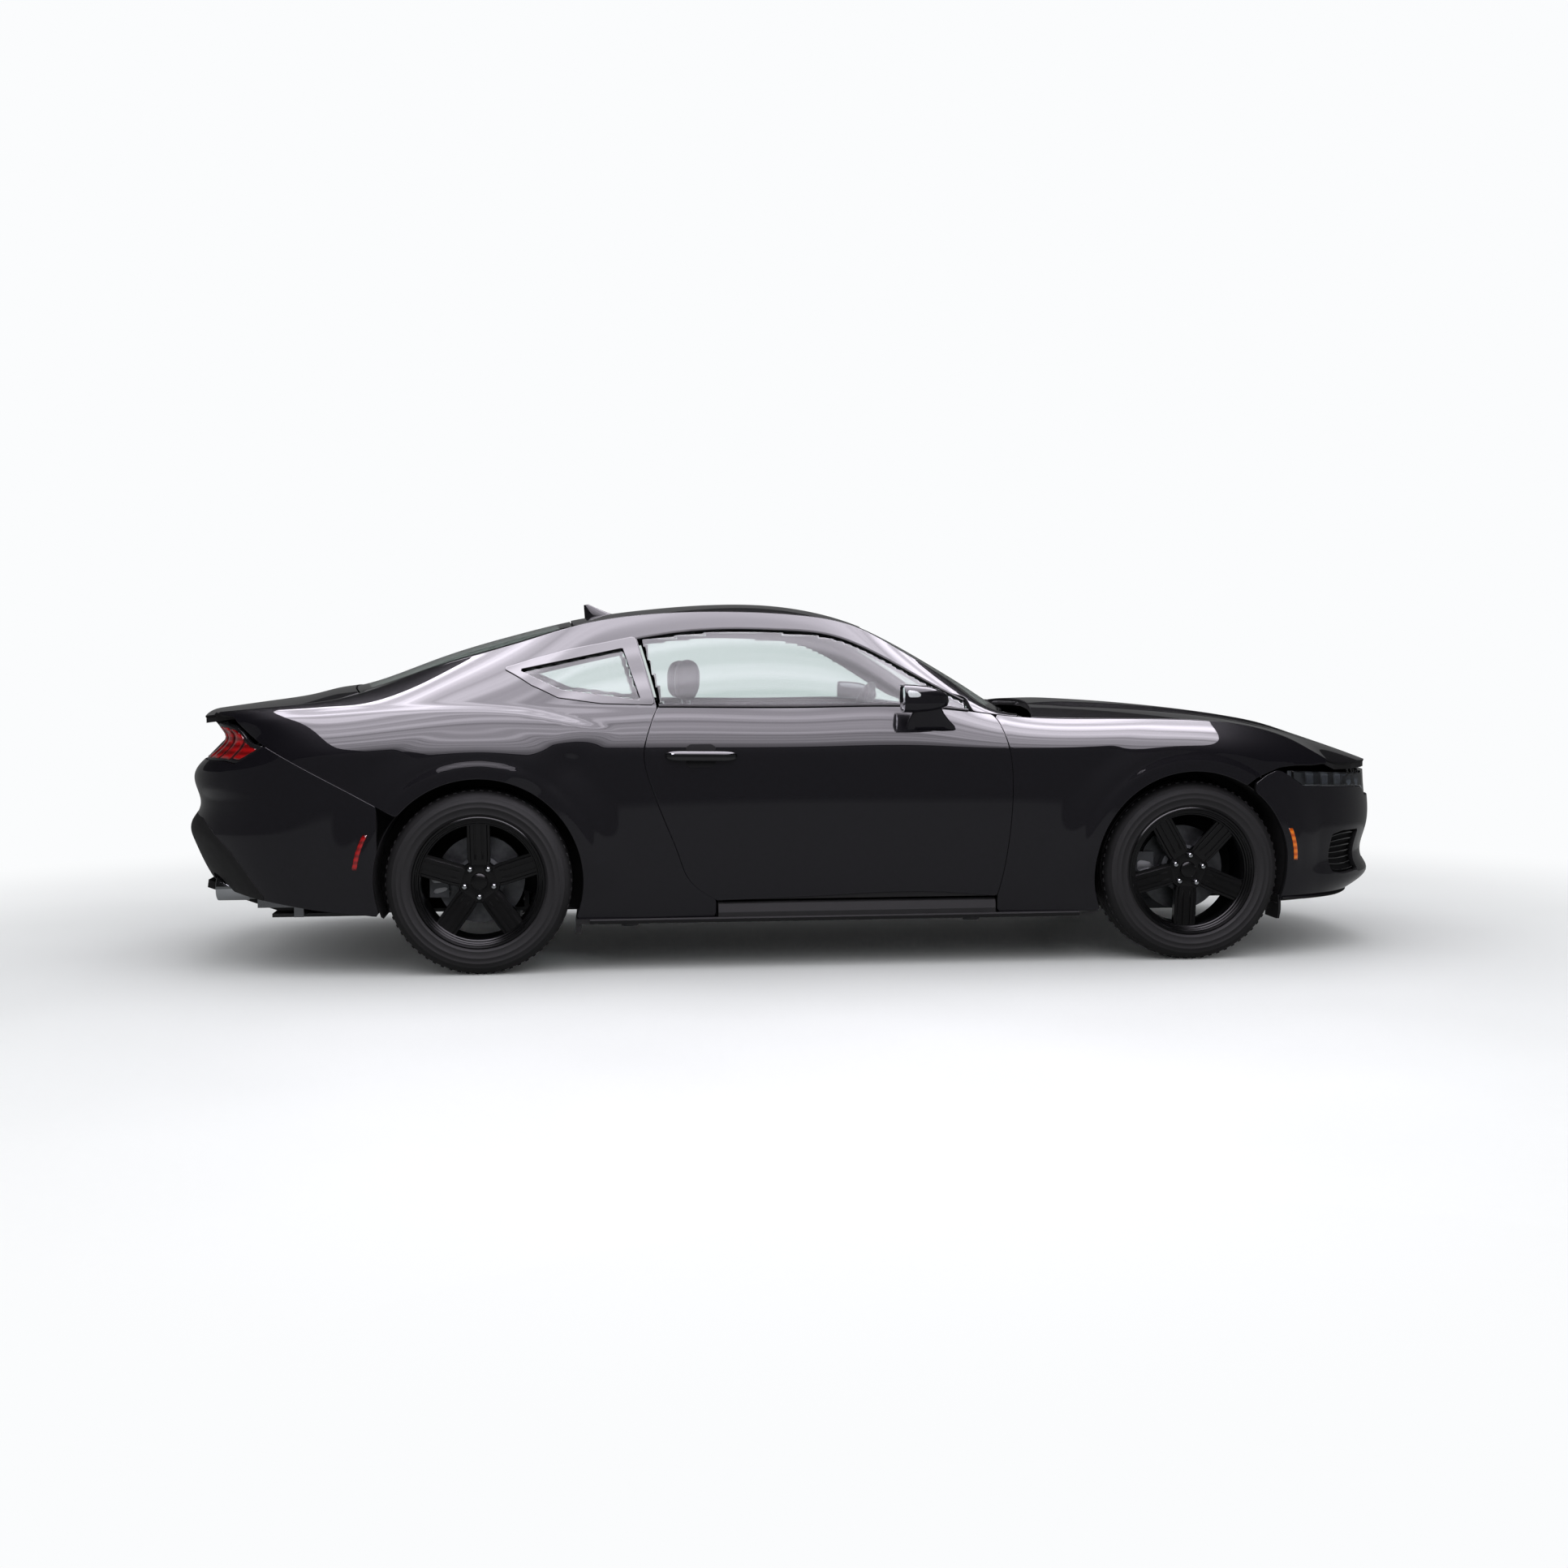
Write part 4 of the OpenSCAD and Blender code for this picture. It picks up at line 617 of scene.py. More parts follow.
# skin through matching rings of points, with its two ends closed by fans
def loft(rings, closeStart=True, closeEnd=True):
    rings = [np.asarray(r, float) for r in rings]
    m = len(rings[0])
    points = np.concatenate(rings)
    faces = [[i * m + j, i * m + (j + 1) % m, (i + 1) * m + (j + 1) % m, (i + 1) * m + j]
             for i in range(len(rings) - 1) for j in range(m)]
    for wanted, first in ((closeStart, 0), (closeEnd, (len(rings) - 1) * m)):
        if wanted:
            centre = len(points)
            points = np.concatenate([points, points[first:first + m].mean(0)[None]])
            order = [(first + j, first + (j + 1) % m) for j in range(m)]
            faces += [[b, a, centre] if first == 0 else [a, b, centre] for a, b in order]
    return points, faces


# rounded ring: a centre, two half sizes along two directions, and how square it is
def roundRing(centre, alongA, alongB, power=3.0, count=28):
    t = np.linspace(0, 2 * math.pi, count, endpoint=False)
    c, q = np.cos(t), np.sin(t)
    a = np.sign(c) * np.abs(c) ** (2 / power)
    b = np.sign(q) * np.abs(q) ** (2 / power)
    return np.asarray(centre, float) + np.outer(a, alongA) + np.outer(b, alongB)


# bar swept along a path; its section is rows of out and up, out given at each place of the path
def sweepBar(path, outs, section):
    path, outs = np.asarray(path, float), np.asarray(outs, float)
    outs = np.broadcast_to(outs, path.shape)
    along = np.gradient(path, axis=0)
    along /= np.linalg.norm(along, axis=1, keepdims=True)
    outs = outs - along * (outs * along).sum(1, keepdims=True)
    outs = outs / np.linalg.norm(outs, axis=1, keepdims=True)
    ups = np.cross(along, outs)
    return loft([p + np.outer([q[0] for q in section], o) + np.outer([q[1] for q in section], w)
                 for p, o, w in zip(path, outs, ups)])


def pointOutward(points, faces, hint):
    n = faceNormals(points, faces).sum(0)
    return faces if n @ np.asarray(hint, float) > 0 else [list(reversed(f)) for f in faces]


def ways(start, stop, step):
    return np.linspace(start, stop, max(2, int(round(abs(stop - start) / step)) + 1))


# faces of a grid of n by m points
def patchFaces(n, m):
    return [[i * m + j, (i + 1) * m + j, (i + 1) * m + j + 1, i * m + j + 1]
            for i in range(n - 1) for j in range(m - 1)]


# line round the nose or the tail: rows of turn and height become rows of way and height
def wayLine(way, turns, rows):
    return np.array([[way(t), z] for t, z in zip(turns, np.interp(turns, *np.array(rows, float).T))])


# x and height over the ground become x and height over the top edge of the body side
def overEdge(points):
    pts = np.asarray(points, float)
    return np.stack([pts[:, 0], pts[:, 1] - edgeZ(pts[:, 0])], 1)


def pillarX(s):
    return -594 - 95 * np.asarray(s, float)


def archRoom(centre):
    return lambda x, w: np.hypot(x - centre, edgeZ(x) + w - axleHeight) - archRadius


# size of a panel's cells, half of the seam left to its rolled edge, and how far it lies over the solid
panelSizes = {"cell": 11.0, "inset": 1.2, "lift": 2.0, "bumperHem": 26.0}


def makeSidePanels():
    cell = panelSizes["cell"]
    inset = panelSizes["inset"]
    zs = np.linspace(262, 988, 60)
    doorOutline = overEdge(np.concatenate([
        np.stack([doorRear(zs), zs], 1), np.stack([doorFront(zs[::-1]), zs[::-1]], 1)]))
    doorOutline[:, 1] = np.minimum(doorOutline[:, 1], -0.5)
    top = ways(-586, 646, 30)
    doorOutline = np.concatenate([doorOutline[:60], np.stack([top, 0 * top - 0.5], 1), doorOutline[60:]])
    doorRoom = outlineRoom(doorOutline)
    u, v, faces = cutGrid(ways(-660, 770, cell), ways(-735, 6, cell), doorRoom, inset)
    points = bodySide(u, v) + [0, panelSizes["lift"], 0]
    faces = pointOutward(points, faces, (0, 1, 0))
    points, faces, marks = rollRim(points, faces, 6)
    makePair("doorSkin", points, faces, ["paint", "hem"], doors, "black_paint", marks=marks)

    low = [[704, 200], [704, 262]]
    rear = np.stack([doorFront(zs) + 6, zs], 1)
    xs = ways(652, 2040, 30)
    lip = [[2046, 752], [1960, 748], [1800, 742], [1700, 704], [1640, 660], [1460, 560], [1150, 200]]
    high = np.stack([xs, 0 * xs - 0.5], 1)
    outline = np.concatenate([overEdge(low), overEdge(rear)[1:], high, overEdge(lip)])
    outline[:, 1] = np.minimum(outline[:, 1], -0.5)
    fenderOutline, arch = outlineRoom(outline), archRoom(frontAxle)
    u, v, faces = cutGrid(ways(640, 2060, cell), ways(-790, 6, cell),
                          lambda x, w: np.minimum(fenderOutline(x, w), arch(x, w)), inset)
    points = bodySide(u, v) + [0, panelSizes["lift"], 0]
    faces = pointOutward(points, faces, (0, 1, 0))
    points, faces, marks = rollRim(points, faces, 15)
    makePair("fenderSkin", points, faces, ["paint", "hem"], fixed, "black_paint", (("fenders",), ()),
             marks)

    front = np.stack([doorRear(zs) - 6, zs], 1)
    ss = np.linspace(0.0, 1.0, 12)
    pillar = np.stack([pillarX(ss), ss * upperRise(pillarX(ss))], 1)
    topXs = ways(-690, -2262, 30)
    top = np.stack([topXs, upperRise(topXs) - 1], 1)
    tailEnd = overEdge([[-2170, 967], [-2138, 931], [-2106, 902], [-2072, 878], [-2043, 861], [-1575, 605],
                        [-1300, 480], [-1010, 200], [-378, 200]])
    tailEnd[0, 1] = 0
    quarterRoom = outlineRoom(np.concatenate([overEdge(front), pillar, top, tailEnd]))
    railXs = np.concatenate([ways(-689, 590, 30), ways(600, 640, 8), ways(660, 800, 20)])
    lowShare = np.maximum(windowShare(railXs), 0) + 12 / upperRise(railXs) + 0.15 * ease((railXs - 540) / 60)
    lowShare = mix(lowShare, 6 / upperRise(railXs), ease((railXs - 606) / 16))
    lowShare[0] = lowShare[1]
    railRoom = outlineRoom(np.concatenate([
        np.stack([railXs, lowShare * upperRise(railXs)], 1),
        np.stack([railXs[::-1], upperRise(railXs[::-1]) - 1], 1)]))
    arch = archRoom(rearAxle)
    windowRoom = outlineRoom(quarterWindowOutline())
    room = lambda x, w: np.minimum(np.minimum(np.maximum(quarterRoom(x, w), railRoom(x, w)), arch(x, w)),
                                   -windowRoom(x, w))
    u, v, faces = cutGrid(ways(-2290, 820, cell), ways(-810, 500, cell), room, inset)
    points = bodySide(u, v) + [0, panelSizes["lift"], 0]
    faces = pointOutward(points, faces, (0, 1, 0))
    thin = mix(38, 14, ease((-1900 - u) / 200))[:, None]
    points, faces, marks = rollRim(points, faces, 14, within=faceNormals(points, faces) * thin)
    makePair("bodySideSkin", points, faces, ["paint", "hem"], fixed, "black_paint",
             (("body_sides",), ()), marks)
    post = [roundRing((802, 765, z), (38 - inset, 0, 0), (0, 63 - inset, 0), 8)
            for z, inset in ((202, 5), (206, 0), (840, 0), (846, 5))]
    makePair("hingePost", *loft(post), "hem", fixed, "black_paint")


def shareAtHeight(x, z):
    e, r = edgeZ(x), railZ(x)
    s = (z - e) / (r - e)
    for tries in range(4):
        s = s + (z - upperPoint(x, s)[..., 2]) / (r - e)
    return s


quarterWindow = {"corners": [[-640, 1008], [-708, 1218], [-1128, 1132], [-952, 1050]],
                 "border": [[-800, 1229], [-930, 1204], [-1060, 1170], [-1168, 1136], [-1060, 1073],
                            [-960, 1026], [-800, 1004]]}


# a place beside the windows: x and height over the ground become x and the way up from the edge
def upperSpot(x, z):
    x, z = np.array(x), np.array(z)
    return [float(x), float(shareAtHeight(x, z) * upperRise(x))]


def quarterWindowOutline(grow=0.0):
    pts = []
    corners = np.array(quarterWindow["corners"], float)
    centre = corners.mean(0)
    corners = centre + (corners - centre) * (1 + grow)
    for a, b in zip(corners, np.roll(corners, -1, 0)):
        for t in np.linspace(0, 1, 10)[:-1]:
            x, z = a + (b - a) * t
            pts.append(upperSpot(x, z))
    return np.array(pts)


def makeSideGlass():
    xs = ways(-600, 604, 20)
    topXs = xs[::-1]
    upper = np.stack([topXs, np.maximum(windowShare(topXs), 0.01) * upperRise(topXs) - 1], 1)
    ss = np.linspace(0, 0.74, 8)
    rear = np.stack([pillarX(ss) + 12, ss * upperRise(pillarX(ss) + 12)], 1)
    outline = np.concatenate([[[604, -8]], upper[upper[:, 0] > -660], rear[::-1], [[-585, -8]]])
    u, v, faces = cutGrid(ways(-700, 612, 14), ways(-12, 420, 14), outlineRoom(outline), 0)
    points = upperPoint(u, v / upperRise(u), 3.0)
    faces = pointOutward(points, faces, (0, 1, 0.2))
    points, faces = thicken(points, faces, 4.5)
    makePair("doorGlass", points, faces, "glass", doors, "tinted_glass",
             (("door_glass_left",), ("door_glass_right",)))
    u, v, faces = cutGrid(ways(-1160, -620, 12), ways(0, 330, 12), outlineRoom(quarterWindowOutline(0.03)), 0)
    points = upperPoint(u, v / upperRise(u), 5.0)
    faces = pointOutward(points, faces, (0, 1, 0.2))
    points, faces = thicken(points, faces, 4.5)
    makePair("quarterGlass", points, faces, "glass", fixed, "tinted_glass",
             (("quarter_windows",), ()))
    # black border of the quarter glass, which runs over the pillar to the door glass
    ss = np.linspace(0.02, 0.74, 10)
    front = np.stack([pillarX(ss) - 6, ss * upperRise(pillarX(ss) - 6)], 1)
    back = [upperSpot(x, z) for x, z in quarterWindow["border"]]
    outer, inner = outlineRoom(np.concatenate([front, back])), outlineRoom(quarterWindowOutline(-0.04))
    u, v, faces = cutGrid(ways(-1200, -590, 9), ways(-10, 350, 9),
                          lambda x, w: np.minimum(outer(x, w), -inner(x, w)), panelSizes["inset"])
    points = upperPoint(u, v / upperRise(u), -5.0)
    points, faces, marks = rollRim(points, pointOutward(points, faces, (0, 1, 0.2)), 7)
    makePair("quarterBorder", points, faces, ["frit", "hem"], fixed, "tinted_glass", marks=marks)


def makeTopPanels():
    across, lift = 72, [0, 0, 1.6]

    def topGrid(x0, x1, reach, step=16.0):
        u, v = np.meshgrid(ways(x0, x1, step), np.linspace(-1, 1, across), indexing="ij")
        points = crownPoint(u, v * (1 - reach / railY(u))).reshape(-1, 3)
        return points, pointOutward(points, patchFaces(*u.shape), (0, 0, 1))
    points, faces = topGrid(212, -897, 7)
    points, faces, marks = rollRim(points + lift, faces, 8)
    makePiece("roofSkin", points, faces, ["paint", "hem"], "chassis", "black_paint", marks=marks)
    for name, x0, x1, node in (("windshieldGlass", 728, 219, "windshield"),
                               ("rearGlass", -904, -1722, "rear_window")):
        points, faces = topGrid(x0, x1, 5)
        points = points - [0, 0, 1.5]
        n, m = len(points) // across, across
        count = len(faces)
        points, faces = thicken(points, faces, 4.5)
        glass = makePiece(name, points, faces, ["screen", "frit"], "chassis", "tinted_glass", (node,))
        band = [0] * len(faces)
        for k in range(count):
            i, j = divmod(k, m - 1)
            if i < 3 or i > n - 5 or j < 3 or j > m - 5:
                band[k] = band[k + count] = 1
        for k in range(2 * count, len(faces)):
            band[k] = 1
        glass.data.polygons.foreach_set("material_index", band)
    points, faces = topGrid(-1733, -2300, 8, 12)
    points, faces, marks = rollRim(points + lift, faces, 8)
    makePiece("deckSkin", points, faces, ["paint", "hem"], "deck_lid", "black_paint", marks=marks)


hoodSizes = {"rear": 856.0, "bow": 95.0, "power": 2.6, "tip": 2040.0}


def hoodHalf(x):
    return edgePoint(np.minimum(x, hoodSizes["tip"]))[..., 1] - 5.5 - 5 * ease((x - 1850) / 150)


def hoodHeight(x, y):
    t = np.abs(y) / hoodHalf(x)
    dome = 12 * ease((0.6 - t) / 0.1) * ease((x - hoodSizes["rear"]) / 250) * ease((2300 - x) / 500)
    return mix(hoodMid(x) - 6, hoodSide(x), t ** hoodSizes["power"]) + dome


def noseEdge(y):
    half = float(waistY(2060))
    share = np.maximum(0, 1 - (np.abs(y) / half) ** noseB) ** (1 / noseA)
    return noseStart + (noseX(745) - noseStart) * share


def makeHood():
    a, t = np.meshgrid(np.linspace(0, 1, 120), np.linspace(-1, 1, 140), indexing="ij")
    y = t * hoodHalf(mix(hoodSizes["rear"], hoodSizes["tip"], a))
    rear = hoodSizes["rear"] + hoodSizes["bow"] * (1 - t * t)
    x = mix(rear, noseEdge(y) - 5, a)
    points = stack(x, y, hoodHeight(x, y) + 1.8 + 2.6 * ease((x - 1750) / 200)).reshape(-1, 3)
    faces = pointOutward(points, patchFaces(*a.shape), (0, 0, 1))
    points, faces, marks = rollRim(points, faces, 10)
    makePiece("hoodSkin", points, faces, ["paint", "hem"], "hood", "black_paint", marks=marks)


noseLines = {
    # turn round the corner in degrees and height: upper edges of the bumper and of the headlamp
    "high": [[9.7, 682], [12.5, 712], [15.7, 732], [19, 704], [23, 664], [37, 654], [53, 644], [57, 604],
             [90, 600]],
    "lampHigh": [[19, 728], [30, 718], [56, 702]],
}


# the rear bumper's upper and lower edge, and the gap round the exhaust tips
tailLines = {
    "high": [[-10, 856], [27, 856], [36, 788], [45, 797], [90, 794]],
    "low": [[-10, 222], [20, 268], [45, 300], [90, 335]],
    "tipY": 640, "tipZ": 310, "tipGap": 60,
}


def tipRoom(p, z):
    side = np.abs(np.abs(p[..., 1]) - tailLines["tipY"])
    high = tailLines["tipZ"]
    return np.where(z < high, side, np.hypot(side, z - high)) - tailLines["tipGap"]


def makeNose():
    fine = wayLine(noseWay, np.linspace(9.7, 90, 60), noseLines["high"])
    right = fine * [-1, 1]
    outline = np.concatenate([[[noseWay(9.7), 218]], fine, right[::-1], [[-noseWay(9.7), 218]]])
    bumperRoom = outlineRoom(outline)
    arch = lambda a, z: np.hypot(noseSkin(a, z)[..., 0] - frontAxle, z - axleHeight) - archRadius
    intake = outlineRoom([[-505, 340], [505, 340], [470, 452], [-470, 452]])
    pocket = outlineRoom([[noseWay(35), 318], [noseWay(40), 306], [noseWay(50.5), 312], [noseWay(50.5), 480],
                          [noseWay(40), 482], [noseWay(35), 470]])
    room = lambda a, z: np.minimum(np.minimum(bumperRoom(a, z), arch(a, z)),
                                   np.minimum(-intake(a, z), -pocket(np.abs(a), z)))
    u, v, faces = cutGrid(ways(-noseReach, noseReach, 12), ways(214, 740, 10), room, panelSizes["inset"])
    points = noseSkin(u, v, -2.0)
    faces = pointOutward(points, faces, (1, 0, 0))
    points, faces, marks = rollRim(points, faces, panelSizes["bumperHem"])
    makePiece("frontBumperSkin", points, faces, ["paint", "hem"], "chassis", "black_paint",
              ("front_bumper",), marks)


def makeTail():
    fineTurns = np.linspace(-10, 90, 80)
    top, bottom = [wayLine(tailWay, fineTurns, tailLines[k]) for k in ("high", "low")]
    outline = np.concatenate([top, top[::-1] * [-1, 1], bottom * [-1, 1], bottom[::-1]])
    bumperRoom = outlineRoom(outline)
    seamLine = lambda x: np.interp(x, [-2044, -1575, -1300], [857, 601, 497])

    def room(a, z):
        p = tailSkin(a, z)
        seam = np.where(p[..., 0] > -2044, (seamLine(p[..., 0]) - z) * 0.88, 1e3)
        arch = np.hypot(p[..., 0] - rearAxle, z - axleHeight) - archRadius
        notch = np.where(p[..., 0] < -1900, tipRoom(p, z), 1e3)
        return np.minimum(np.minimum(bumperRoom(a, z), seam), np.minimum(arch, notch))
    u, v, faces = cutGrid(ways(-tailReach, tailReach, 12), ways(214, 862, 10), room, panelSizes["inset"])
    points = tailSkin(u, v, -2.0)
    faces = pointOutward(points, faces, (-1, 0, 0))
    points, faces, marks = rollRim(points, faces, panelSizes["bumperHem"])
    makePiece("rearBumperSkin", points, faces, ["paint", "hem"], "chassis", "black_paint",
              ("rear_bumper",), marks)


makeSidePanels()
print("side panels made")
makeSideGlass()
makeTopPanels()
makeHood()
makeNose()
makeTail()
print("nose, tail and top made")


# revolved piece: rows of radius and place along the axle; closed joins the last row to the first
def turned(rows, segments, closed=False):
    rows = np.asarray(rows, float)
    angles = np.linspace(0, 2 * math.pi, segments, endpoint=False)
    points = np.stack([np.outer(np.cos(angles), rows[:, 0]), np.repeat(rows[None, :, 1], segments, 0),
                       np.outer(np.sin(angles), rows[:, 0])], -1).reshape(-1, 3)
    m = len(rows)
    last = m if closed else m - 1
    faces = []
    for i in range(segments):
        a, b = i * m, (i + 1) % segments * m
        faces += [[a + j, a + (j + 1) % m, b + (j + 1) % m, b + j] for j in range(last)]
    return points, faces


def joinParts(parts):
    points, faces, marks, base = [], [], [], 0
    for p, f, mark in parts:
        points.append(np.asarray(p, float))
        faces += [[k + base for k in face] for face in f]
        marks += [mark] * len(f)
        base += len(p)
    return np.concatenate(points), faces, marks


# straight spoke with a raised middle and two grooves
# rows are half width and height over its face, from the edge inwards
spokeRows = [[43, -26], [43, -2], [41.5, 0], [33, 0.4], [30.8, 5], [29.6, 6], [18.2, 6], [17.4, 1],
             [10.6, 1], [9.8, 6], [0, 6]]


def spokePart(angle):
    half = np.array(spokeRows, float)
    across = np.concatenate([-half[:, 0], half[-2::-1, 0]])
    height = np.concatenate([half[:, 1], half[-2::-1, 1]])
    rows = []
    for r in np.concatenate([np.linspace(34, 88, 7), np.linspace(100, 228, 9)]):
        base = 50 + r * math.tan(math.radians(8))
        groove = ease((r - 80) / 20)
        h = np.where((np.abs(across) > 10) & (np.abs(across) < 18), mix(6, height, groove), height)
        narrow = mix(0.82, 1, ease((r - 30) / 70))
        rows.append(stack(np.full(len(across), r), across * narrow, base + h))
    grid = np.array(rows)
    back = grid.copy()
    back[..., 2] = grid[:, :1, 2] - 2
    n, m = grid.shape[:2]
    points = np.concatenate([grid.reshape(-1, 3), back.reshape(-1, 3)])
    faces = []
    for i in range(n - 1):
        for j in range(m - 1):
            a, b, c, d = i * m + j, i * m + j + 1, (i + 1) * m + j + 1, (i + 1) * m + j
            faces += [[a, d, c, b], [n * m + a, n * m + b, n * m + c, n * m + d]]
        for j in (0, m - 1):
            a, b = i * m + j, (i + 1) * m + j
            faces.append([a, b, n * m + b, n * m + a] if j else [b, a, n * m + a, n * m + b])
    ca, sa = math.cos(angle), math.sin(angle)
    x, w, h = points.T
    return np.stack([x * ca - w * sa, h, x * sa + w * ca], 1), faces


# small part repeated round a circle about z by Geometry Nodes; the answer is plain points and faces in mm
def repeatRound(name, points, faces, finish, count, radius):
    mesh = bpy.data.meshes.new(name)
    mesh.from_pydata((np.asarray(points) * mm).tolist(), [], faces)
    obj = bpy.data.objects.new(name, mesh)
    bpy.context.scene.collection.objects.link(obj)
    tree = bpy.data.node_groups.new(name + "Round", "GeometryNodeTree")
    tree.interface.new_socket("Geometry", in_out="INPUT", socket_type="NodeSocketGeometry")
    countSocket = tree.interface.new_socket("Count", in_out="INPUT", socket_type="NodeSocketInt")
    radiusSocket = tree.interface.new_socket("Radius", in_out="INPUT", socket_type="NodeSocketFloat")
    tree.interface.new_socket("Geometry", in_out="OUTPUT", socket_type="NodeSocketGeometry")
    source = addNode(tree, "NodeGroupInput")
    ring = addNode(tree, "GeometryNodeMeshCircle", links={"Vertices": source.outputs["Count"],
                                                         "Radius": source.outputs["Radius"]})
    index = addNode(tree, "GeometryNodeInputIndex").outputs["Index"]
    angle = addMath(tree, "MULTIPLY", addMath(tree, "DIVIDE", index, source.outputs["Count"]), 2 * math.pi)
    turn = addNode(tree, "ShaderNodeCombineXYZ", links={"Z": angle})
    placed = addNode(tree, "GeometryNodeInstanceOnPoints", links={
        "Points": ring.outputs["Mesh"], "Instance": source.outputs["Geometry"],
        "Rotation": turn.outputs["Vector"]})
    real = addNode(tree, "GeometryNodeRealizeInstances", links={"Geometry": placed.outputs["Instances"]})
    coated = addNode(tree, "GeometryNodeSetMaterial", values={"Material": finishes[finish]},
                     links={"Geometry": real.outputs["Geometry"]})
    addNode(tree, "NodeGroupOutput", links={"Geometry": coated.outputs["Geometry"]})
    modifier = obj.modifiers.new("repeat", "NODES")
    modifier.node_group = tree
    modifier[countSocket.identifier] = count
    modifier[radiusSocket.identifier] = radius * mm
    plain = bpy.data.meshes.new_from_object(obj.evaluated_get(bpy.context.evaluated_depsgraph_get()))
    places = np.zeros(len(plain.vertices) * 3)
    plain.vertices.foreach_get("co", places)
    made = places.reshape(-1, 3) / mm, [list(f.vertices) for f in plain.polygons]
    bpy.data.objects.remove(obj)
    bpy.data.meshes.remove(mesh)
    bpy.data.meshes.remove(plain)
    return made


# wheel: rows are radius and place out along the axle in mm
wheelRows = {
    "rim": [[222, -112], [246, -114], [247, -104], [232, -92], [218, -22], [230, 88], [247, 104],
            [247, 112], [243, 114.5], [237, 113], [234, 108], [230, 106.5], [228, 101], [223, 99],
            [220, 92], [216, 90], [214, 78], [213, 40], [208, -22], [220, -96]],
    "cap": [[0.5, 72.5], [16, 72.5], [26, 71.5], [30, 69], [31, 63], [37, 64], [66, 65], [76, 63],
            [80, 56], [80, 30], [60, 20]],
    "disc": [[78, -34], [92, -36], [92, -62], [165, -62], [165, -54], [158, -54], [158, -44], [165, -44],
             [165, -36], [92, -36]],
    "hat": [[60, 20], [78, 18], [92, 10], [92, -36], [60, -36]],
    "nut": [[0.5, 82], [5, 82], [8, 80.5], [9.6, 77], [10.5, 72], [10.5, 60]],
    "well": [[15.5, 66.5], [14, 65], [14, 58], [0.5, 58]],
    "tyre": [[247, -110], [262, -119], [290, -122.5], [312, -120], [328, -109], [335, -98], [340.5, -85],
             [342.5, -62], [342.8, -58], [335, -57], [335, -51], [343, -50], [345, -44], [345, -18],
             [337, -17], [337, -9], [345, -8], [345, 8], [337, 9], [337, 17], [345, 18], [345, 44],
             [343, 50], [335, 51], [335, 57], [342.8, 58], [342.5, 62], [340.5, 85], [335, 98],
             [328, 109], [319, 116.5], [317.5, 118.5], [314, 119.5], [304, 121.8], [302, 123.2],
             [299, 123.2], [297, 122.4], [285, 122.3], [283, 123.3], [280, 123.2], [278, 121.9],
             [262, 119], [257, 119.5], [252, 116], [247, 110]],
}
wheelPlaces = {"wheel_front_left": (frontAxle, 794.0, 1), "wheel_front_right": (frontAxle, -794.0, -1),
               "wheel_rear_left": (rearAxle, 824.0, 1), "wheel_rear_right": (rearAxle, -824.0, -1)}


def rimParts(turnDegrees):
    first = math.radians(turnDegrees)
    parts = [(*turned(wheelRows["rim"], 128, True), 0), (*turned(wheelRows["cap"], 72), 0)]
    for k in range(5):
        parts.append((*spokePart(first + k * 2 * math.pi / 5), 0))
    parts.append((*turned(wheelRows["disc"], 96), 1))
    parts.append((*turned(wheelRows["hat"], 72), 2))
    nuts = turned(wheelRows["nut"], 12)
    wells = turned(wheelRows["well"], 20)
    for (points, faces), mark, finish in ((nuts, 3, "chrome"), (wells, 0, "wheel")):
        upright = points[:, [0, 2, 1]] * [1, -1, 1]
        places, around = repeatRound("wheelNut", upright, faces, finish, 5, 57)
        c, s = math.cos(first + math.pi / 5), math.sin(first + math.pi / 5)
        x, z = places[:, 0], places[:, 1]
        parts.append((np.stack([x * c - z * s, places[:, 2], x * s + z * c], 1), around, mark))
    return joinParts(parts)


# shoulder lug of the tread: a slanted block, its long side across the tyre
lugRows = {"count": 66, "radius": 338.0, "base": [[-3, -6, 62], [-3, 7, 62], [3, 9, 84], [3, -4, 84]],
           "lifts": (-4.0, 3.0)}


def tyreParts():
    points, faces = turned(wheelRows["tyre"], 144)
    low, high = [np.array(lugRows["base"], float) + [lift, 0, 0] for lift in lugRows["lifts"]]
    top = (high - [6, 0, 0]) * [1, 0.82, 1] + [6.7, 0.2, 0]
    lug, lugFaces = loft([low, high, top])
    places, around = repeatRound("treadLug", lug, lugFaces, "rubber", lugRows["count"], lugRows["radius"])
    outer = np.stack([places[:, 0], places[:, 2], places[:, 1]], 1)
    inner = outer * [1, -1, 1]
    return joinParts([(points, faces, 0), (outer, around, 0), (inner, around, 0)])


def makeWheels():
    tyrePoints, tyreFaces = tyreParts()[:2]
    for turn, axle in ((-95, "wheel_front"), (90, "wheel_rear")):
        points, faces, marks = rimParts(turn)
        for name in (axle + "_left", axle + "_right"):
            x, y, side = wheelPlaces[name]
            place = np.array([x, y, axleHeight])
            axis = np.array([1, side, 1])
            obj = makePiece(name + "Rim", points * axis + place, faces, ["wheel", "disc", "iron", "chrome"],
                            name, "black_alloy", (name,), marks, sharp=35)
            values = obj.data.attributes.new("radius", "FLOAT", "POINT")
            values.data.foreach_set("value", (np.hypot(points[:, 0], points[:, 2]) * mm).astype(np.float32))
            makePiece(name + "Tyre", tyrePoints * axis + place, tyreFaces, "rubber", name, "tyre_rubber",
                      (name.replace("wheel", "tyre"),), sharp=35)


# black liner inside each wheel arch: a half tunnel and its inner wall
linerSizes = {"radius": 393.0, "thick": 3.0, "wave": 3.6, "front": (470.0, 24.0), "rear": (640.0, 62.0)}


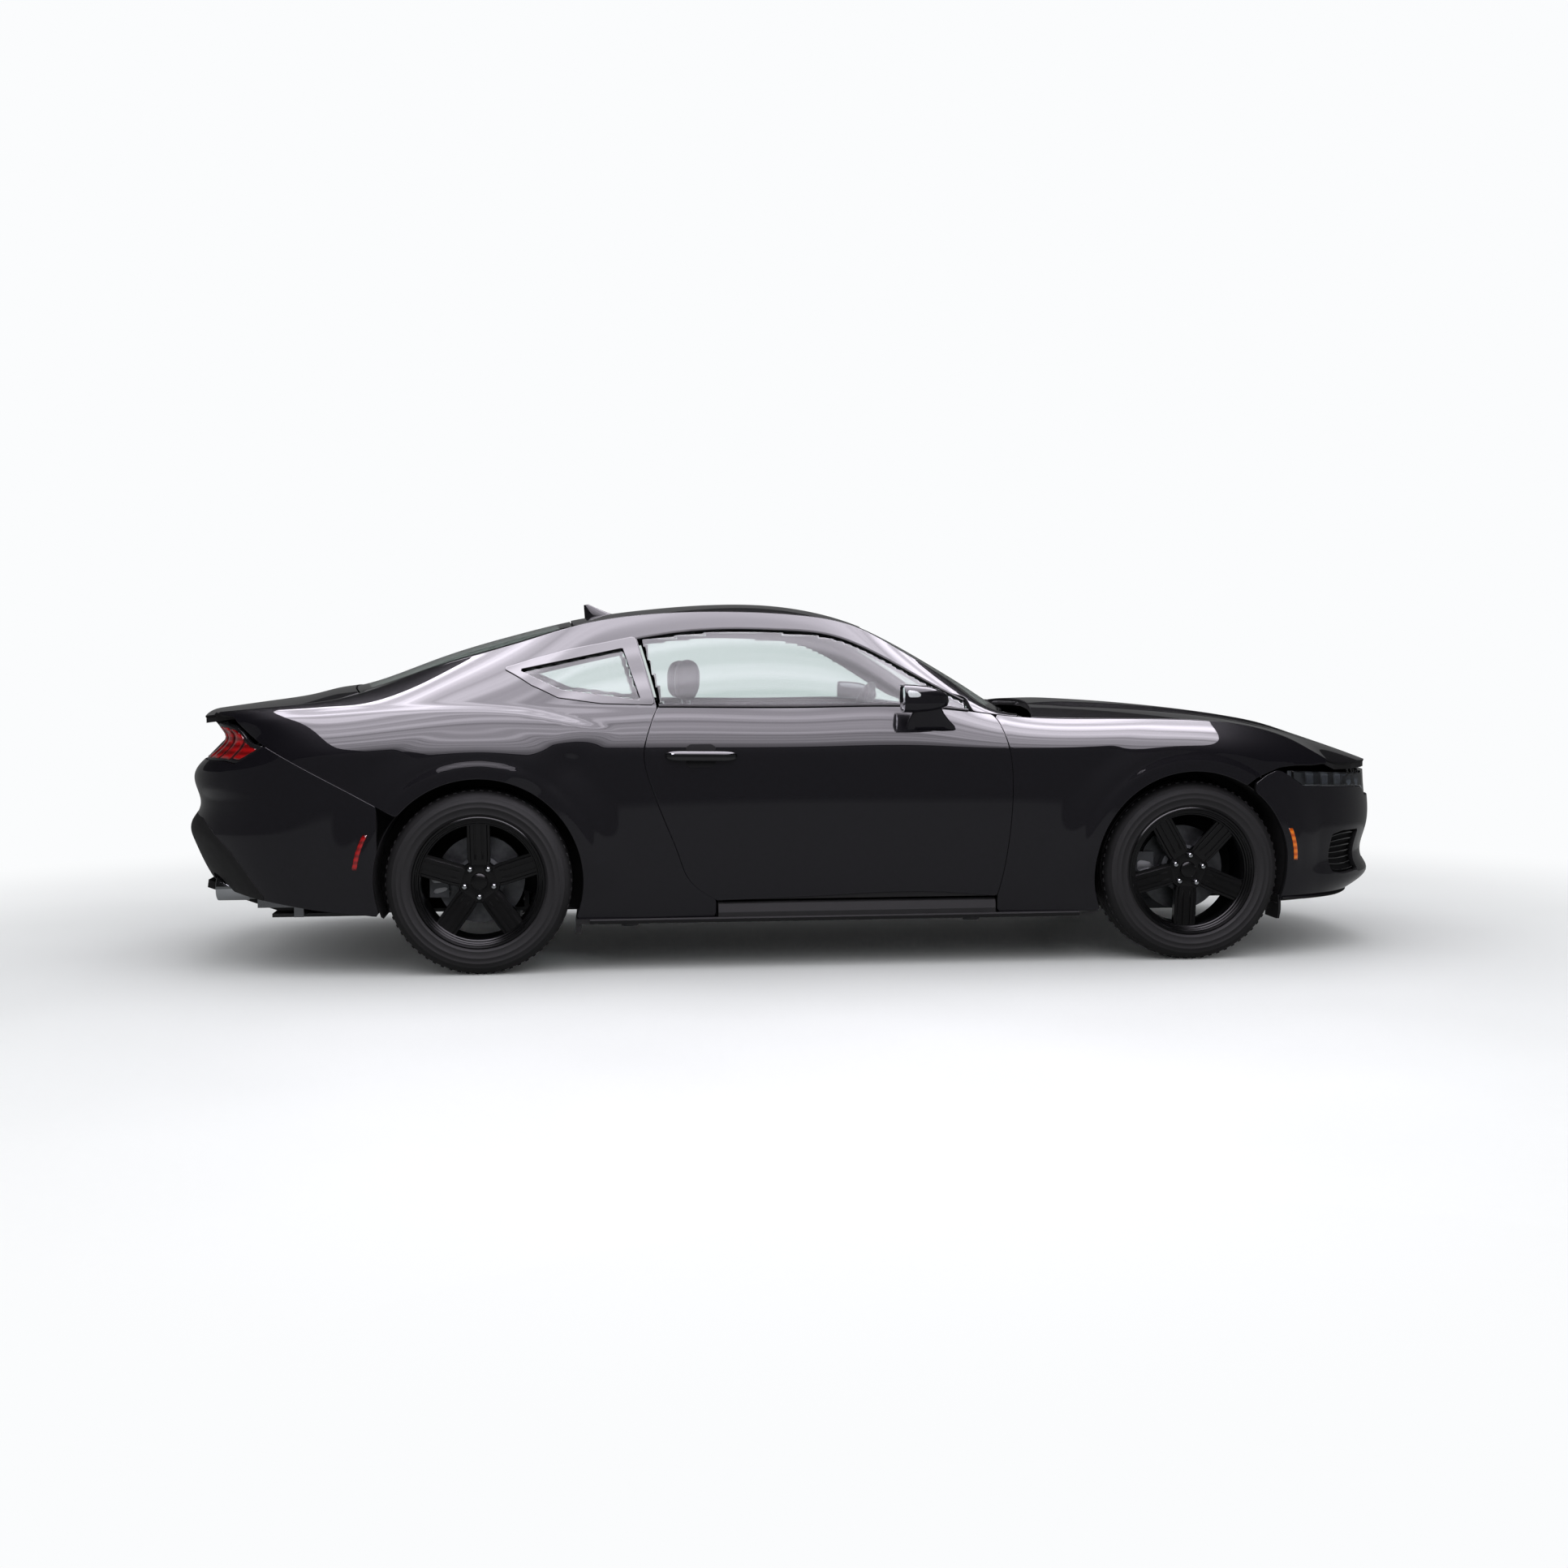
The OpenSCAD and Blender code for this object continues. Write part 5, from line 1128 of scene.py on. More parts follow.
def makeLiners():
    angles = np.radians(np.linspace(-24, 204, 58))
    for name, centre in (("front", frontAxle), ("rear", rearAxle)):
        inner, room = linerSizes[name]
        r = linerSizes["radius"]
        x, z = centre + r * np.cos(angles), np.maximum(axleHeight + r * np.sin(angles), 205)
        outer = np.array([float(sideY(np.array(a), np.array(max(b, 262)))) for a, b in zip(x, z)]) - room
        tunnel = [stack(x, mix(inner, outer, k), z) for k in np.linspace(0, 1, 8)]
        wall = [stack(mix(centre, x, k), inner + linerSizes["wave"] * math.sin(9 * k), mix(axleHeight, z, k))
                for k in np.linspace(0.3, 1, 8)]
        grid = np.array(wall[:-1] + tunnel)
        points, faces = thicken(grid.reshape(-1, 3), patchFaces(*grid.shape[:2]), linerSizes["thick"])
        makePair(name + "ArchLiner", points, faces, "liner", fixed, "matte_trim", sharp=35)


# closed sheet from a grid of points, its front turned towards hint
def gridSheet(grid, t, hint):
    grid = np.asarray(grid, float)
    n, m = grid.shape[:2]
    points = grid.reshape(-1, 3)
    return thicken(points, pointOutward(points, patchFaces(n, m), hint), t)


lampLines = {
    "turns": (19.6, 55.4), "guides": (25, 31, 37), "guideSpan": 2.6, "cups": (44.5, 50.5), "cupHeight": 678,
    "cup": [[0.5, -2], [9, 0], [10, 3], [13, 4], [21, 14], [23, 15], [23, 11], [12, -6], [0.5, -8]],
    "tailTurns": (28.8, 71.5), "bars": (42.4, 52.4, 62.4), "barSpan": 7.2,
    "tailHigh": [[28.5, 856], [31.5, 860], [36, 868], [41, 884], [46, 920], [54, 929], [72, 929]],
    "frontMarker": (380, 505, 35), "rearMarker": (400, 530, 68), "markerHalf": 9.0,
}


def makeLamps():
    d = lampLines
    turns = np.linspace(*d["turns"], 44)
    low = np.interp(turns, *np.array(noseLines["high"]).T) + 4
    high = np.interp(turns, *np.array(noseLines["lampHigh"]).T) - 1.5
    rows = np.linspace(0, 1, 10)

    def lampGrid(depth, t0=0.0, t1=1.0, r0=0.0, r1=1.0, across=44):
        share = np.linspace(t0, t1, across)
        turn = mix(turns[0], turns[-1], share)
        lowZ, highZ = np.interp(turn, turns, low), np.interp(turn, turns, high)
        z = np.array([mix(lowZ, highZ, mix(r0, r1, k)) for k in rows]).T
        return nosePoint(np.radians(turn)[:, None] + 0 * z, z, depth)
    makePair("headlampLens", *gridSheet(lampGrid(0.0), 3, (1, 1, 0)), "smokedLens", fixed, "smoked_lens")
    makePair("headlampHousing", *gridSheet(lampGrid(26.0), 4, (1, 1, 0)), "lampGrey", fixed,
             "smoked_lens", (("headlamps",), ()))
    parts = []
    for start in d["guides"]:
        a = (start - turns[0]) / (turns[-1] - turns[0])
        b = (start + d["guideSpan"] - turns[0]) / (turns[-1] - turns[0])
        parts.append((*gridSheet(lampGrid(9.0, a, b, 0.12, 0.85, 5), 8, (1, 1, 0)), 0))
    points, faces, marks = joinParts(parts)
    makePair("headlampGuides", points, faces, "lightGuide", fixed, "smoked_lens")
    cup, cupFaces = turned(d["cup"], 36)
    parts = []
    for turn in d["cups"]:
        p = nosePoint(np.radians([turn]), np.array([d["cupHeight"]], float), 22)[0]
        ahead = [math.sin(math.radians(turn)), math.cos(math.radians(turn)), 0]
        across = [ahead[1], -ahead[0], 0]
        parts.append((p + cup @ np.array([across, ahead, [0, 0, 1]]), cupFaces, 0))
    points, faces, marks = joinParts(parts)
    makePair("headlampCups", points, faces, "reflector", fixed, "smoked_lens", sharp=35)

    def tailGrid(depth, t0, t1, inset, across, bulge=0.0):
        turn = np.linspace(t0, t1, across)
        lowZ = np.interp(turn, *np.array(tailLines["high"]).T) + 3 + inset
        highZ = np.interp(turn, *np.array(d["tailHigh"]).T) - inset
        z = np.array([mix(lowZ, highZ, k) for k in rows]).T
        swell = np.sin(np.pi * np.linspace(0, 1, across))[:, None] * np.sin(np.pi * rows)[None] ** 0.4
        return tailPoint(np.radians(turn)[:, None] + 0 * z, z, depth - bulge * swell)
    t0, t1 = d["tailTurns"]
    makePair("tailLampHousing", *gridSheet(tailGrid(2.0, t0, t1, 0.5, 40), 22, (-1, 1, 0)), "lampBlack",
             fixed, "red_lens", (("tail_lamps",), ()))
    parts = [(*gridSheet(tailGrid(-3.0, a, a + d["barSpan"], 9, 9, 5.0), 9, (-1, 1, 0)), 0)
             for a in d["bars"]]
    parts.append((*gridSheet(tailGrid(0.4, 31.0, 40.5, 14, 9, 2.0), 6, (-1, 1, 0)), 0))
    points, faces, marks = joinParts(parts)
    makePair("tailLampBars", points, faces, "redLens", fixed, "red_lens")

    for name, finish, slot in (("frontMarker", "amberLens", "smoked_lens"),
                               ("rearMarker", "redLens", "red_lens")):
        lowZ, highZ, room = d[name]
        z = np.linspace(lowZ, highZ, 12)
        reach = np.sqrt(archRadius ** 2 - (z - axleHeight) ** 2)
        side = np.linspace(-d["markerHalf"], d["markerHalf"], 7)
        zz, ss = np.meshgrid(z, side, indexing="ij")
        dome = np.sqrt(np.maximum(1 - (ss / 9.6) ** 2, 0))
        ends = np.minimum(1, np.minimum(zz - lowZ, highZ - zz) / 6 + 0.2)
        lift = 1.5 + 4.0 * dome * ends
        if name == "frontMarker":
            x = frontAxle + reach[:, None] + room + ss
            turn = np.arcsin(((x - noseStart) / (noseX(zz) - noseStart)) ** (noseA / 2))
            grid = nosePoint(turn, zz, -lift)
        else:
            x = rearAxle - reach[:, None] - room + ss
            grid = tailPoint(np.radians((tailStart - x) / 12), zz, -lift)
        makePair(name, *gridSheet(grid, 8, (0, 1, 0)), finish, fixed, slot)


mirrorSizes = {
    # x, y, z of the middle, half width, half height
    "rings": [[326, 962, 1018, 60, 46], [325, 962, 1018, 66, 51], [328, 962, 1018, 68, 53],
              [370, 961, 1017, 67.5, 52.5], [420, 959, 1016, 63, 48], [465, 955, 1013, 52, 37],
              [490, 951, 1010, 38, 25], [500, 948, 1009, 20, 12]],
    "arm": [[425, 944, 978, 52, 30], [425, 938, 960, 62, 26], [430, 928, 935, 78, 20],
            [440, 916, 912, 92, 16], [442, 908, 898, 96, 12]],
}


def makeMirrors():
    rings = [roundRing((335, 962, 1018), (0, 59, 0), (0, 0, 45), 3.2, 40)]
    rings += [roundRing((x, y, z), (0, w, 0), (0, 0, h), 3.2, 40) for x, y, z, w, h in mirrorSizes["rings"]]
    points, faces = loft(rings)
    arm = loft([roundRing((x, y, z), (w, 0, 0), (0, d, 0), 3.0, 32) for x, y, z, w, d in mirrorSizes["arm"]])
    points, faces, marks = joinParts([(points, faces, 0), (*arm, 0)])
    makePair("mirrorHousing", points, faces, "paint", doors, "black_paint",
             (("mirror_left",), ("mirror_right",)), sharp=50)
    glass = loft([roundRing((x, 962, 1018), (0, w, 0), (0, 0, h), 3.2, 40)
                  for x, w, h in ((334.5, 57, 43), (331, 57, 43), (330, 55, 41))])
    makePair("mirrorGlass", *glass, "mirror", doors, "gloss_black_trim", sharp=35)
    lamp = loft([roundRing((x, y, z), (0, w, 0), (0, 0, h), 2.6, 24) for x, y, z, w, h in (
        (332, 1006, 1034, 22, 20), (345, 1009, 1034, 22.5, 19), (372, 1010, 1032, 20, 16),
        (392, 1012, 1028, 12, 9))])
    makePair("mirrorTurnLamp", *lamp, "lightGuide", doors, "smoked_lens", sharp=50)


handleSizes = {
    "x": -430.0, "z": 808.0, "half": 134.0,
    "cup": [[-486, 776], [-470, 764], [-392, 764], [-376, 776], [-376, 842], [-392, 853], [-470, 853],
            [-486, 842]],
}


def makeHandles():
    d = handleSizes
    u, v, faces = cutGrid(ways(-500, -362, 5), ways(-230, -120, 5), outlineRoom(overEdge(d["cup"])), 2.0)
    points = bodySide(u, v) + [0, 3.4, 0]
    points, faces, marks = rollRim(points, pointOutward(points, faces, (0, 1, 0)), 4, 1.0)
    makePair("handleCup", points, faces, "hem", doors, "matte_trim")
    rings, strip = [], []
    for k in np.linspace(-1, 1, 25):
        x = d["x"] + d["half"] * k
        y = float(sideY(np.array(x), np.array(d["z"])))
        end = max(0.0, 1 - abs(k) ** 6)
        depth, high = 4 + 11 * end ** 0.5, 6 + 13 * end ** 0.5
        rings.append(roundRing((x, y + 5 + 9 * end, d["z"] - 2 * k), (0, depth, 0), (0, 0, high), 2.8, 24))
        if -0.9 < k < 0.2:
            middle = (x, y + 15.9 + 9 * end, d["z"] + 7 - 2 * k)
            strip.append(roundRing(middle, (0, 2.4, 0), (0, 0, 2.6), 2.4, 16))
    makePair("handleBar", *loft(rings), "gloss", doors, "gloss_black_trim",
                        (("handle_left",), ("handle_right",)), sharp=60)
    makePair("handleStrip", *loft(strip), "chrome", doors, "chrome_steel", sharp=60)


def upperOut(x):
    e, r = edgePoint(x), railPoint(x)
    n = r - e
    n = stack(0 * x, n[..., 2], -n[..., 1])
    return n / np.linalg.norm(n, axis=-1, keepdims=True)


trimSizes = {"belt": [[-4, -2], [5, -2], [7, 3], [6, 9], [-2, 11], [-5, 8]],
             "frame": [[-8, -4], [1.5, -4], [2.5, 0], [1.5, 5], [-8, 5]]}


def makeSideTrim():
    xs = ways(-584, 600, 24)
    belt = sweepBar(upperPoint(xs, 2.0 / upperRise(xs)) + [0, 1.0, 0], upperOut(xs), trimSizes["belt"])
    makePair("beltMoulding", *belt, "trim", doors, "matte_trim", sharp=35)
    xs = ways(-668, 590, 24)
    share = np.maximum(windowShare(xs), 0.02) + 5.5 / upperRise(xs)
    frameBar = sweepBar(upperPoint(xs, share), upperOut(xs), trimSizes["frame"])
    makePair("windowFrame", *frameBar, "trim", fixed, "matte_trim", sharp=35)


lowTrim = {
    # rows of turn round the corner and height
    "splitter": [[20, 226], [30, 222], [45, 219], [60, 218], [75, 218], [90, 218]],
    "splitterSection": [[-30, -3], [10, -4], [16, 0], [12, 5], [-6, 9], [-30, 9]],
    "valance": [[29, 300], [33, 392], [38, 470], [46, 540], [56, 578], [70, 588], [90, 590]],
    "pocketTurns": [35, 40, 45, 50.5], "pocketLow": [318, 306, 306, 312], "pocketHigh": [470, 482, 484, 480],
    "meshSection": [[-4, -2.2], [3, -2.2], [4, 0], [3, 2.2], [-4, 2.2]],
    "finSection": [[-2, -1], [6, -1], [6, 1], [-2, 1]],
    # place, depth and height of the splash plate behind the front wheel arch
    "splashX": frontAxle + archRadius - 22, "splashY": (700, 852), "splashZ": (146, 240),
    # x, z and half height of a diffuser fin
    "fin": [[-2322, 312, 14], [-2250, 268, 30], [-2120, 232, 26], [-2000, 214, 8]],
    "finYs": (-330, -165, 0, 165, 330),
    "tip": [[38, 90], [38, 4], [39, 0], [43, -5], [47, -3], [48, 2], [48, 110], [44, 116]],
}


def makeLowTrim():
    d = lowTrim
    turns = np.radians(np.linspace(20, 160, 81))
    half = np.minimum(turns, math.pi - turns)
    z = np.interp(np.degrees(half), *np.array(d["splitter"]).T)
    path = nosePoint(half, z, 0.0) * np.where(turns > math.pi / 2, -1, 1)[:, None] ** np.array([0, 1, 0])
    outs = stack(np.sin(half), np.cos(half) * np.where(turns > math.pi / 2, -1, 1), 0 * half)
    makePiece("frontSplitter", *sweepBar(path, outs, d["splitterSection"]), "trim", "chassis", "matte_trim",
              sharp=35)
    t = np.linspace(d["pocketTurns"][0] - 0.6, d["pocketTurns"][-1] + 0.6, 16)
    low = np.interp(t, d["pocketTurns"], d["pocketLow"]) - 3
    high = np.interp(t, d["pocketTurns"], d["pocketHigh"]) + 3
    zz = np.array([mix(low, high, k) for k in np.linspace(0, 1, 10)]).T
    grid = nosePoint(np.radians(t)[:, None] + 0 * zz, zz, 20.0)
    makePair("cornerPocket", *gridSheet(grid, 6, (1, 1, 0)), "hem", fixed, "matte_trim")
    bars = []
    for k in np.linspace(0.1, 0.9, 7):
        inset = np.linspace(t[0] + 0.4, t[-1] - 0.4, 14)
        zk = mix(np.interp(inset, t, low), np.interp(inset, t, high), k)
        p = nosePoint(np.radians(inset), zk, 11.0)
        o = stack(np.sin(np.radians(inset)), np.cos(np.radians(inset)), 0 * inset)
        bars.append((*sweepBar(p, o, d["meshSection"]), 0))
    points, faces, marks = joinParts(bars)
    makePair("cornerMesh", points, faces, "gloss", fixed, "gloss_black_trim", sharp=35)

    # finned radiator behind both grilles
    parts = [(*loft([roundRing((2215 + k, 0, 520), (0, 470 - e, 0), (0, 0, 200 - e), 12, 40) for k, e in
                     ((0, 4), (3, 0), (30, 0), (33, 4))]), 0)]
    for z in np.arange(336, 706, 11.0):
        parts.append((*sweepBar(np.array([[2249, y, z] for y in np.linspace(-455, 455, 8)]), (1, 0, 0),
                                d["finSection"]), 0))
    points, faces, marks = joinParts(parts)
    makePiece("radiatorCore", points, faces, "hem", "chassis", "matte_trim", sharp=35)
    rings = []
    nearY, farY = d["splashY"]
    for k in np.linspace(0, 1, 9):
        middle = (d["splashX"] + 3 * math.sin(k * 3), (nearY + farY) / 2, mix(*d["splashZ"], k))
        half = (farY - nearY) / 2 - 10 * (1 - ease(k / 0.35))
        rings.append(roundRing(middle, (7, 0, 0), (0, half, 0), 8, 28))
    makePair("splashPlate", *loft(rings), "trim", fixed, "matte_trim", sharp=50)

    # matte lower section of the rear bumper
    fine = np.linspace(29, 90, 60)
    top, bottom = [wayLine(tailWay, fine, rows) for rows in (d["valance"], tailLines["low"])]
    outline = np.concatenate([top, top[::-1] * [-1, 1], bottom * [-1, 1], bottom[::-1]])
    band = outlineRoom(outline)

    def room(a, z):
        return np.minimum(band(a, z), tipRoom(tailSkin(a, z), z))
    reach = tailWay(28)
    u, v, faces = cutGrid(ways(-reach, reach, 12), ways(270, 600, 10), room, panelSizes["inset"])
    swell = 5 * ease(band(u, v) / 30)
    points = tailSkin(u, v, -4.0 - swell)
    points, faces, marks = rollRim(points, pointOutward(points, faces, (-1, 0, 0)), 8)
    makePiece("rearValance", points, faces, ["trim", "hem"], "chassis", "matte_trim", marks=marks)
    boss = loft([roundRing((x, 0, 668), (0, 165 - e, 0), (0, 0, 85 - e), 14, 48) for x, e in
                 ((-2350, 0), (-2388, 0), (-2392, 4))])
    makePiece("plateBoss", *boss, "trim", "chassis", "matte_trim", sharp=35)
    fins = [(*loft([roundRing((x, y, z), (0, 5, 0), (0, 0, h), 6, 16) for x, z, h in d["fin"]]), 0)
            for y in d["finYs"]]
    points, faces, marks = joinParts(fins)
    makePiece("diffuserFins", points, faces, "trim", "chassis", "matte_trim", sharp=50)
    tip, tipFaces = turned(d["tip"], 56)
    shape = np.stack([tip[:, 1] - 2256, tip[:, 0] + tailLines["tipY"], tip[:, 2] + tailLines["tipZ"]], 1)
    makePair("exhaustTip", shape, tipFaces, "chrome", fixed, "chrome_steel", sharp=35)

    # rear face of the deck lid between the lamps
    y, k = np.meshgrid(np.linspace(-430, 430, 60), np.linspace(0, 1, 16), indexing="ij")
    z = mix(806, 962 + 0 * y, k)
    wide = lowSectionY(np.full(z.shape, -2200.0), z)
    x = tailStart + (tailX(z) - tailStart) * (1 - (np.abs(y) / wide) ** tailB) ** (1 / tailA)
    grid = stack(x - 2, y, z)
    points = grid.reshape(-1, 3)
    points, faces, marks = rollRim(points, pointOutward(points, patchFaces(60, 16), (-1, 0, 0)), 5)
    makePiece("deckFace", points, faces, ["paint", "hem"], "deck_lid", "black_paint", marks=marks)


topTrim = {
    "blade": [[-5, -3], [-1, -7], [3, -6], [5, 0], [3, 6], [-1, 7], [-5, 3]],
    "arm": [[-2.5, -6], [2, -5], [3, 0], [2, 5], [-2.5, 6]], "wiperYs": (-330, 260),
}


def makeTopTrim():
    # antenna fin: rings lean back over the roof
    roof = crownPoint(np.linspace(-900, -600, 40), np.zeros(40))
    rings = []
    for k in np.linspace(0, 1, 8):
        front, back = mix(-728, -846, k ** 0.8), mix(-862, -866, k)
        half = 17 * (1 - 0.75 * k ** 1.3)
        ring = roundRing(((front + back) / 2, 0, 0), ((front - back) / 2, 0, 0), (0, half, 0), 2.3, 28)
        ring[:, 2] = np.interp(ring[:, 0], roof[:, 0], roof[:, 2]) + mix(-4, 58, k)
        rings.append(ring)
    makePiece("finShell", *loft(rings), "paint", "chassis", "black_paint", ("antenna_fin",), sharp=60)
    blades, arms = [], []
    for y in topTrim["wiperYs"]:
        share = np.linspace(0, 1, 16)
        bow = np.sin(math.pi * share)
        path = stack(850 + 8 * bow, y + 240 * (2 * share - 1), 985 + 2 * bow)
        blades.append((*sweepBar(path, (-0.5, 0, 0.86), topTrim["blade"]), 0))
        share = np.linspace(0, 1, 10)
        path = stack(848 - 6 * share, y - 210 + 300 * share, 992 - 2 * share)
        arms.append((*sweepBar(path, (0, 0, 1), topTrim["arm"]), 0))
    points, faces, marks = joinParts(blades + arms)
    makePiece("wiperSet", points, faces, "trim", "chassis", "matte_trim", ("wipers",), sharp=50)


# caliper castings: a ribbed body that follows the disc, behind each axle
def makeCalipers():
    for name, centre, hubY, bodies in (("frontCaliper", frontAxle, 732.0, ("knuckle_left", "knuckle_right")),
                                       ("rearCaliper", rearAxle, 762.0, fixed)):
        rings = []
        for a in np.radians(np.linspace(158, 202, 13)):
            edge = 1 - abs(math.degrees(a) - 180) / 22
            low, high = 120, 178 + 10 * ease(edge / 0.3)
            mid, half = (low + high) / 2, (high - low) / 2
            c, q = math.cos(a), math.sin(a)
            rib = 2 * (int(math.degrees(a)) % 2)
            middle = (centre + mid * c, hubY + 42, axleHeight + mid * q)
            thick = 9 + 4 * ease(edge / 0.4) - rib
            rings.append(roundRing(middle, (half * c, 0, half * q), (0, thick, 0), 4.0, 24))
        makePair(name, *loft(rings), "alloy", bodies, "cast_metal", sharp=50)


# pad sewn from leather: a lofted form is blown up as cloth, capped, then its seams are drawn in
padSizes = {
    "voxel": 0.0065, "quickVoxel": 0.014, "pressure": 4.0, "frames": 20,
    "cushionSeams": [-120, -40, 40, 120], "backSeams": [540, 620, 700, 780, 860],
    "rearCushionSeams": [-650, -730, -800], "rearBackSeams": [560, 660, 760, 860],
    # x, low z, high z, half width
    "cushion": [[242, 345, 400, 175], [232, 318, 440, 212], [190, 306, 452, 228], [60, 304, 444, 231],
                [-100, 306, 428, 230], [-190, 314, 418, 222], [-218, 335, 405, 195]],
    # z, front x, rear x, half width
    "back": [[446, -236, -330, 195], [466, -232, -352, 218], [560, -262, -386, 230],
             [720, -312, -432, 231], [850, -354, -462, 220], [935, -384, -480, 190],
             [972, -408, -470, 150]],
    "headrest": [[1008, -436, -482, 90], [1020, -426, -494, 112], [1070, -412, -502, 128],
                 [1120, -408, -502, 129], [1152, -418, -492, 115], [1164, -434, -478, 90]],
    "rearCushion": [[-552, 400, 440, 205], [-572, 388, 468, 232], [-700, 388, 464, 240],
                    [-820, 392, 446, 236], [-850, 402, 436, 215]],
    "rearBack": [[456, -882, -950, 210], [480, -880, -968, 232], [620, -914, -1004, 238],
                 [800, -958, -1044, 232], [900, -984, -1058, 205], [936, -1002, -1050, 170]],
}


def inflate(name, points, faces, cap, seam):
    mesh = bpy.data.meshes.new(name)
    mesh.from_pydata((points * mm).tolist(), [], faces)
    obj = bpy.data.objects.new(name, mesh)
    bpy.context.scene.collection.objects.link(obj)
    scene = bpy.context.scene

    def settled():
        plain = bpy.data.meshes.new_from_object(obj.evaluated_get(bpy.context.evaluated_depsgraph_get()))
        obj.modifiers.clear()
        return plain
    remesh = obj.modifiers.new("remesh", "REMESH")
    remesh.mode = "VOXEL"
    remesh.voxel_size = padSizes["voxel"]
    obj.data = settled()
    start = np.zeros(len(obj.data.vertices) * 3)
    obj.data.vertices.foreach_get("co", start)
    start = start.reshape(-1, 3)
    places = start
    cloth = obj.modifiers.new("cloth", "CLOTH")
    cloth.settings.use_pressure = True
    cloth.settings.uniform_pressure_force = padSizes["pressure"]
    cloth.settings.effector_weights.gravity = 0
    cloth.point_cache.frame_start, cloth.point_cache.frame_end = 1, padSizes["frames"]
    for step in range(1, padSizes["frames"] + 1):
        scene.frame_set(step)
    blown = settled()
    places = np.zeros(len(start) * 3)
    blown.vertices.foreach_get("co", places)
    move = places.reshape(-1, 3) - start
    size = np.linalg.norm(move, axis=1, keepdims=True)
    places = start + move * np.minimum(1, cap * mm / np.maximum(size, 1e-9))
    scene.frame_set(1)
    made = places / mm
    faces = [list(f.vertices) for f in obj.data.polygons]
    made = made - faceNormals(made, faces) * seam(made)[:, None]
    bpy.data.objects.remove(obj)
    return made, faces


# depth of the sewn lines: rows of place along an axis, each about 9 mm wide
def seamDepth(values, lines, depth=5.0):
    gap = np.min(np.abs(np.asarray(values)[:, None] - np.asarray(lines)[None]), axis=1)
    return depth * np.exp(-(gap / 5.0) ** 2)


def makeSeats():
    d = padSizes
    front, rear = 375.0, 262.0

    def lying(rows, y):
        rings = []
        for x, low, high, w in rows:
            ring = roundRing((x, y, (low + high) / 2), (0, w, 0), (0, 0, (high - low) / 2), 5, 56)
            lift = 20 * ease((np.abs(ring[:, 1] - y) - 135) / 55) * (ring[:, 2] > (low + high) / 2)
            rings.append(ring + np.outer(lift, [0, 0, 1]))
        return loft(rings)

    def standing(rows, y, wing):
        rings = []
        for z, ahead, behind, w in rows:
            ring = roundRing(((ahead + behind) / 2, y, z), ((ahead - behind) / 2, 0, 0), (0, w, 0), 5, 56)
            push = wing * ease((np.abs(ring[:, 1] - y) - 125) / 60) * (ring[:, 0] > (ahead + behind) / 2)
            rings.append(ring + np.outer(push, [1, 0, 0]))
        return loft(rings)

    def seamsAcross(y, along, lines):
        def seam(p):
            side = seamDepth(np.abs(p[:, 1] - y), [138])
            middle = np.abs(p[:, 1] - y) < 140
            return np.maximum(side, seamDepth(p[:, along], lines, 4.0) * middle)
        return seam

    def headSeam(p):
        return seamDepth(np.abs(p[:, 1] - front), [96], 3.0)
    cushionSeam, backSeam = seamsAcross(front, 0, d["cushionSeams"]), seamsAcross(front, 2, d["backSeams"])
    rearCushionSeam = seamsAcross(rear, 0, d["rearCushionSeams"])
    rearBackSeam = seamsAcross(rear, 2, d["rearBackSeams"])
    pads = (
        ("seatCushion", *lying(d["cushion"], front), 10, cushionSeam, ("front_seats",)),
        ("seatBack", *standing(d["back"], front, 18), 10, backSeam, ()),
        ("seatHeadrest", *standing(d["headrest"], front, 0), 7, headSeam, ()),
        ("rearSeatCushion", *lying(d["rearCushion"], rear), 8, rearCushionSeam, ("rear_seat",)),
        ("rearSeatBack", *standing(d["rearBack"], rear, 10), 8, rearBackSeam, ()),
    )
    for name, points, faces, cap, seam, nodes in pads:
        points, faces = inflate(name, points, faces, cap, seam)
        for obj in makePair(name, points, faces, "leather", fixed, "seat_cloth", (nodes, ()), sharp=60):
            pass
    shield = loft([roundRing((-40, front, z), (w, 0, 0), (0, 205 - e, 0), 6, 40) for z, w, e in
                   ((194, 170, 20), (200, 186, 4), (240, 188, 0), (292, 182, 2), (300, 172, 10))])
    parts = [(*shield, 0)]
    for side in (-55, 55):
        rings = [roundRing((-444 - 8 * k, front + side, 955 + 62 * k), (6, 0, 0), (0, 6, 0), 2, 16)
                 for k in (0, 0.5, 1)]
        parts.append((*loft(rings), 1))
    for side in (-150, 150):
        rings = [roundRing((-40, front + side, z), (w, 0, 0), (0, 14, 0), 8, 24)
                 for z, w in ((193, 205), (206, 205), (212, 198))]
        parts.append((*loft(rings), 1))
    points, faces, marks = joinParts(parts)
    makePair("seatFrame", points, faces, ["trim", "steel"], fixed, "dash_plastic", marks=marks, sharp=50)


steerSizes = {
    "centre": (330.0, 375.0, 905.0), "normal": (-0.9135, 0.0, 0.4067), "up": (0.4067, 0.0, 0.9135),
    "ring": 167.0, "tube": 14.72,
    # half width and height of the hub, then way out and half width of a spoke
    "hub": [[50, -26], [62, -22], [66, -4], [60, 8], [46, 13]],
    "spoke": [[52, 22], [90, 17], [125, 13], [160, 18]],
    "vent": [[34, -14], [40, -14], [41, 2], [38, 5], [33, 4], [31, -6]], "ventYs": (-560, -190, 190, 560),
    "slat": [[-6, -1.6], [4, -1.6], [5, 0], [4, 1.6], [-6, 1.6]],
    # share of the way up and radius of the gear lever
    "lever": [[0, 44], [0.06, 42], [0.14, 30], [0.3, 20], [0.55, 12], [0.62, 14], [0.74, 22], [0.9, 23],
              [1, 14]],
}


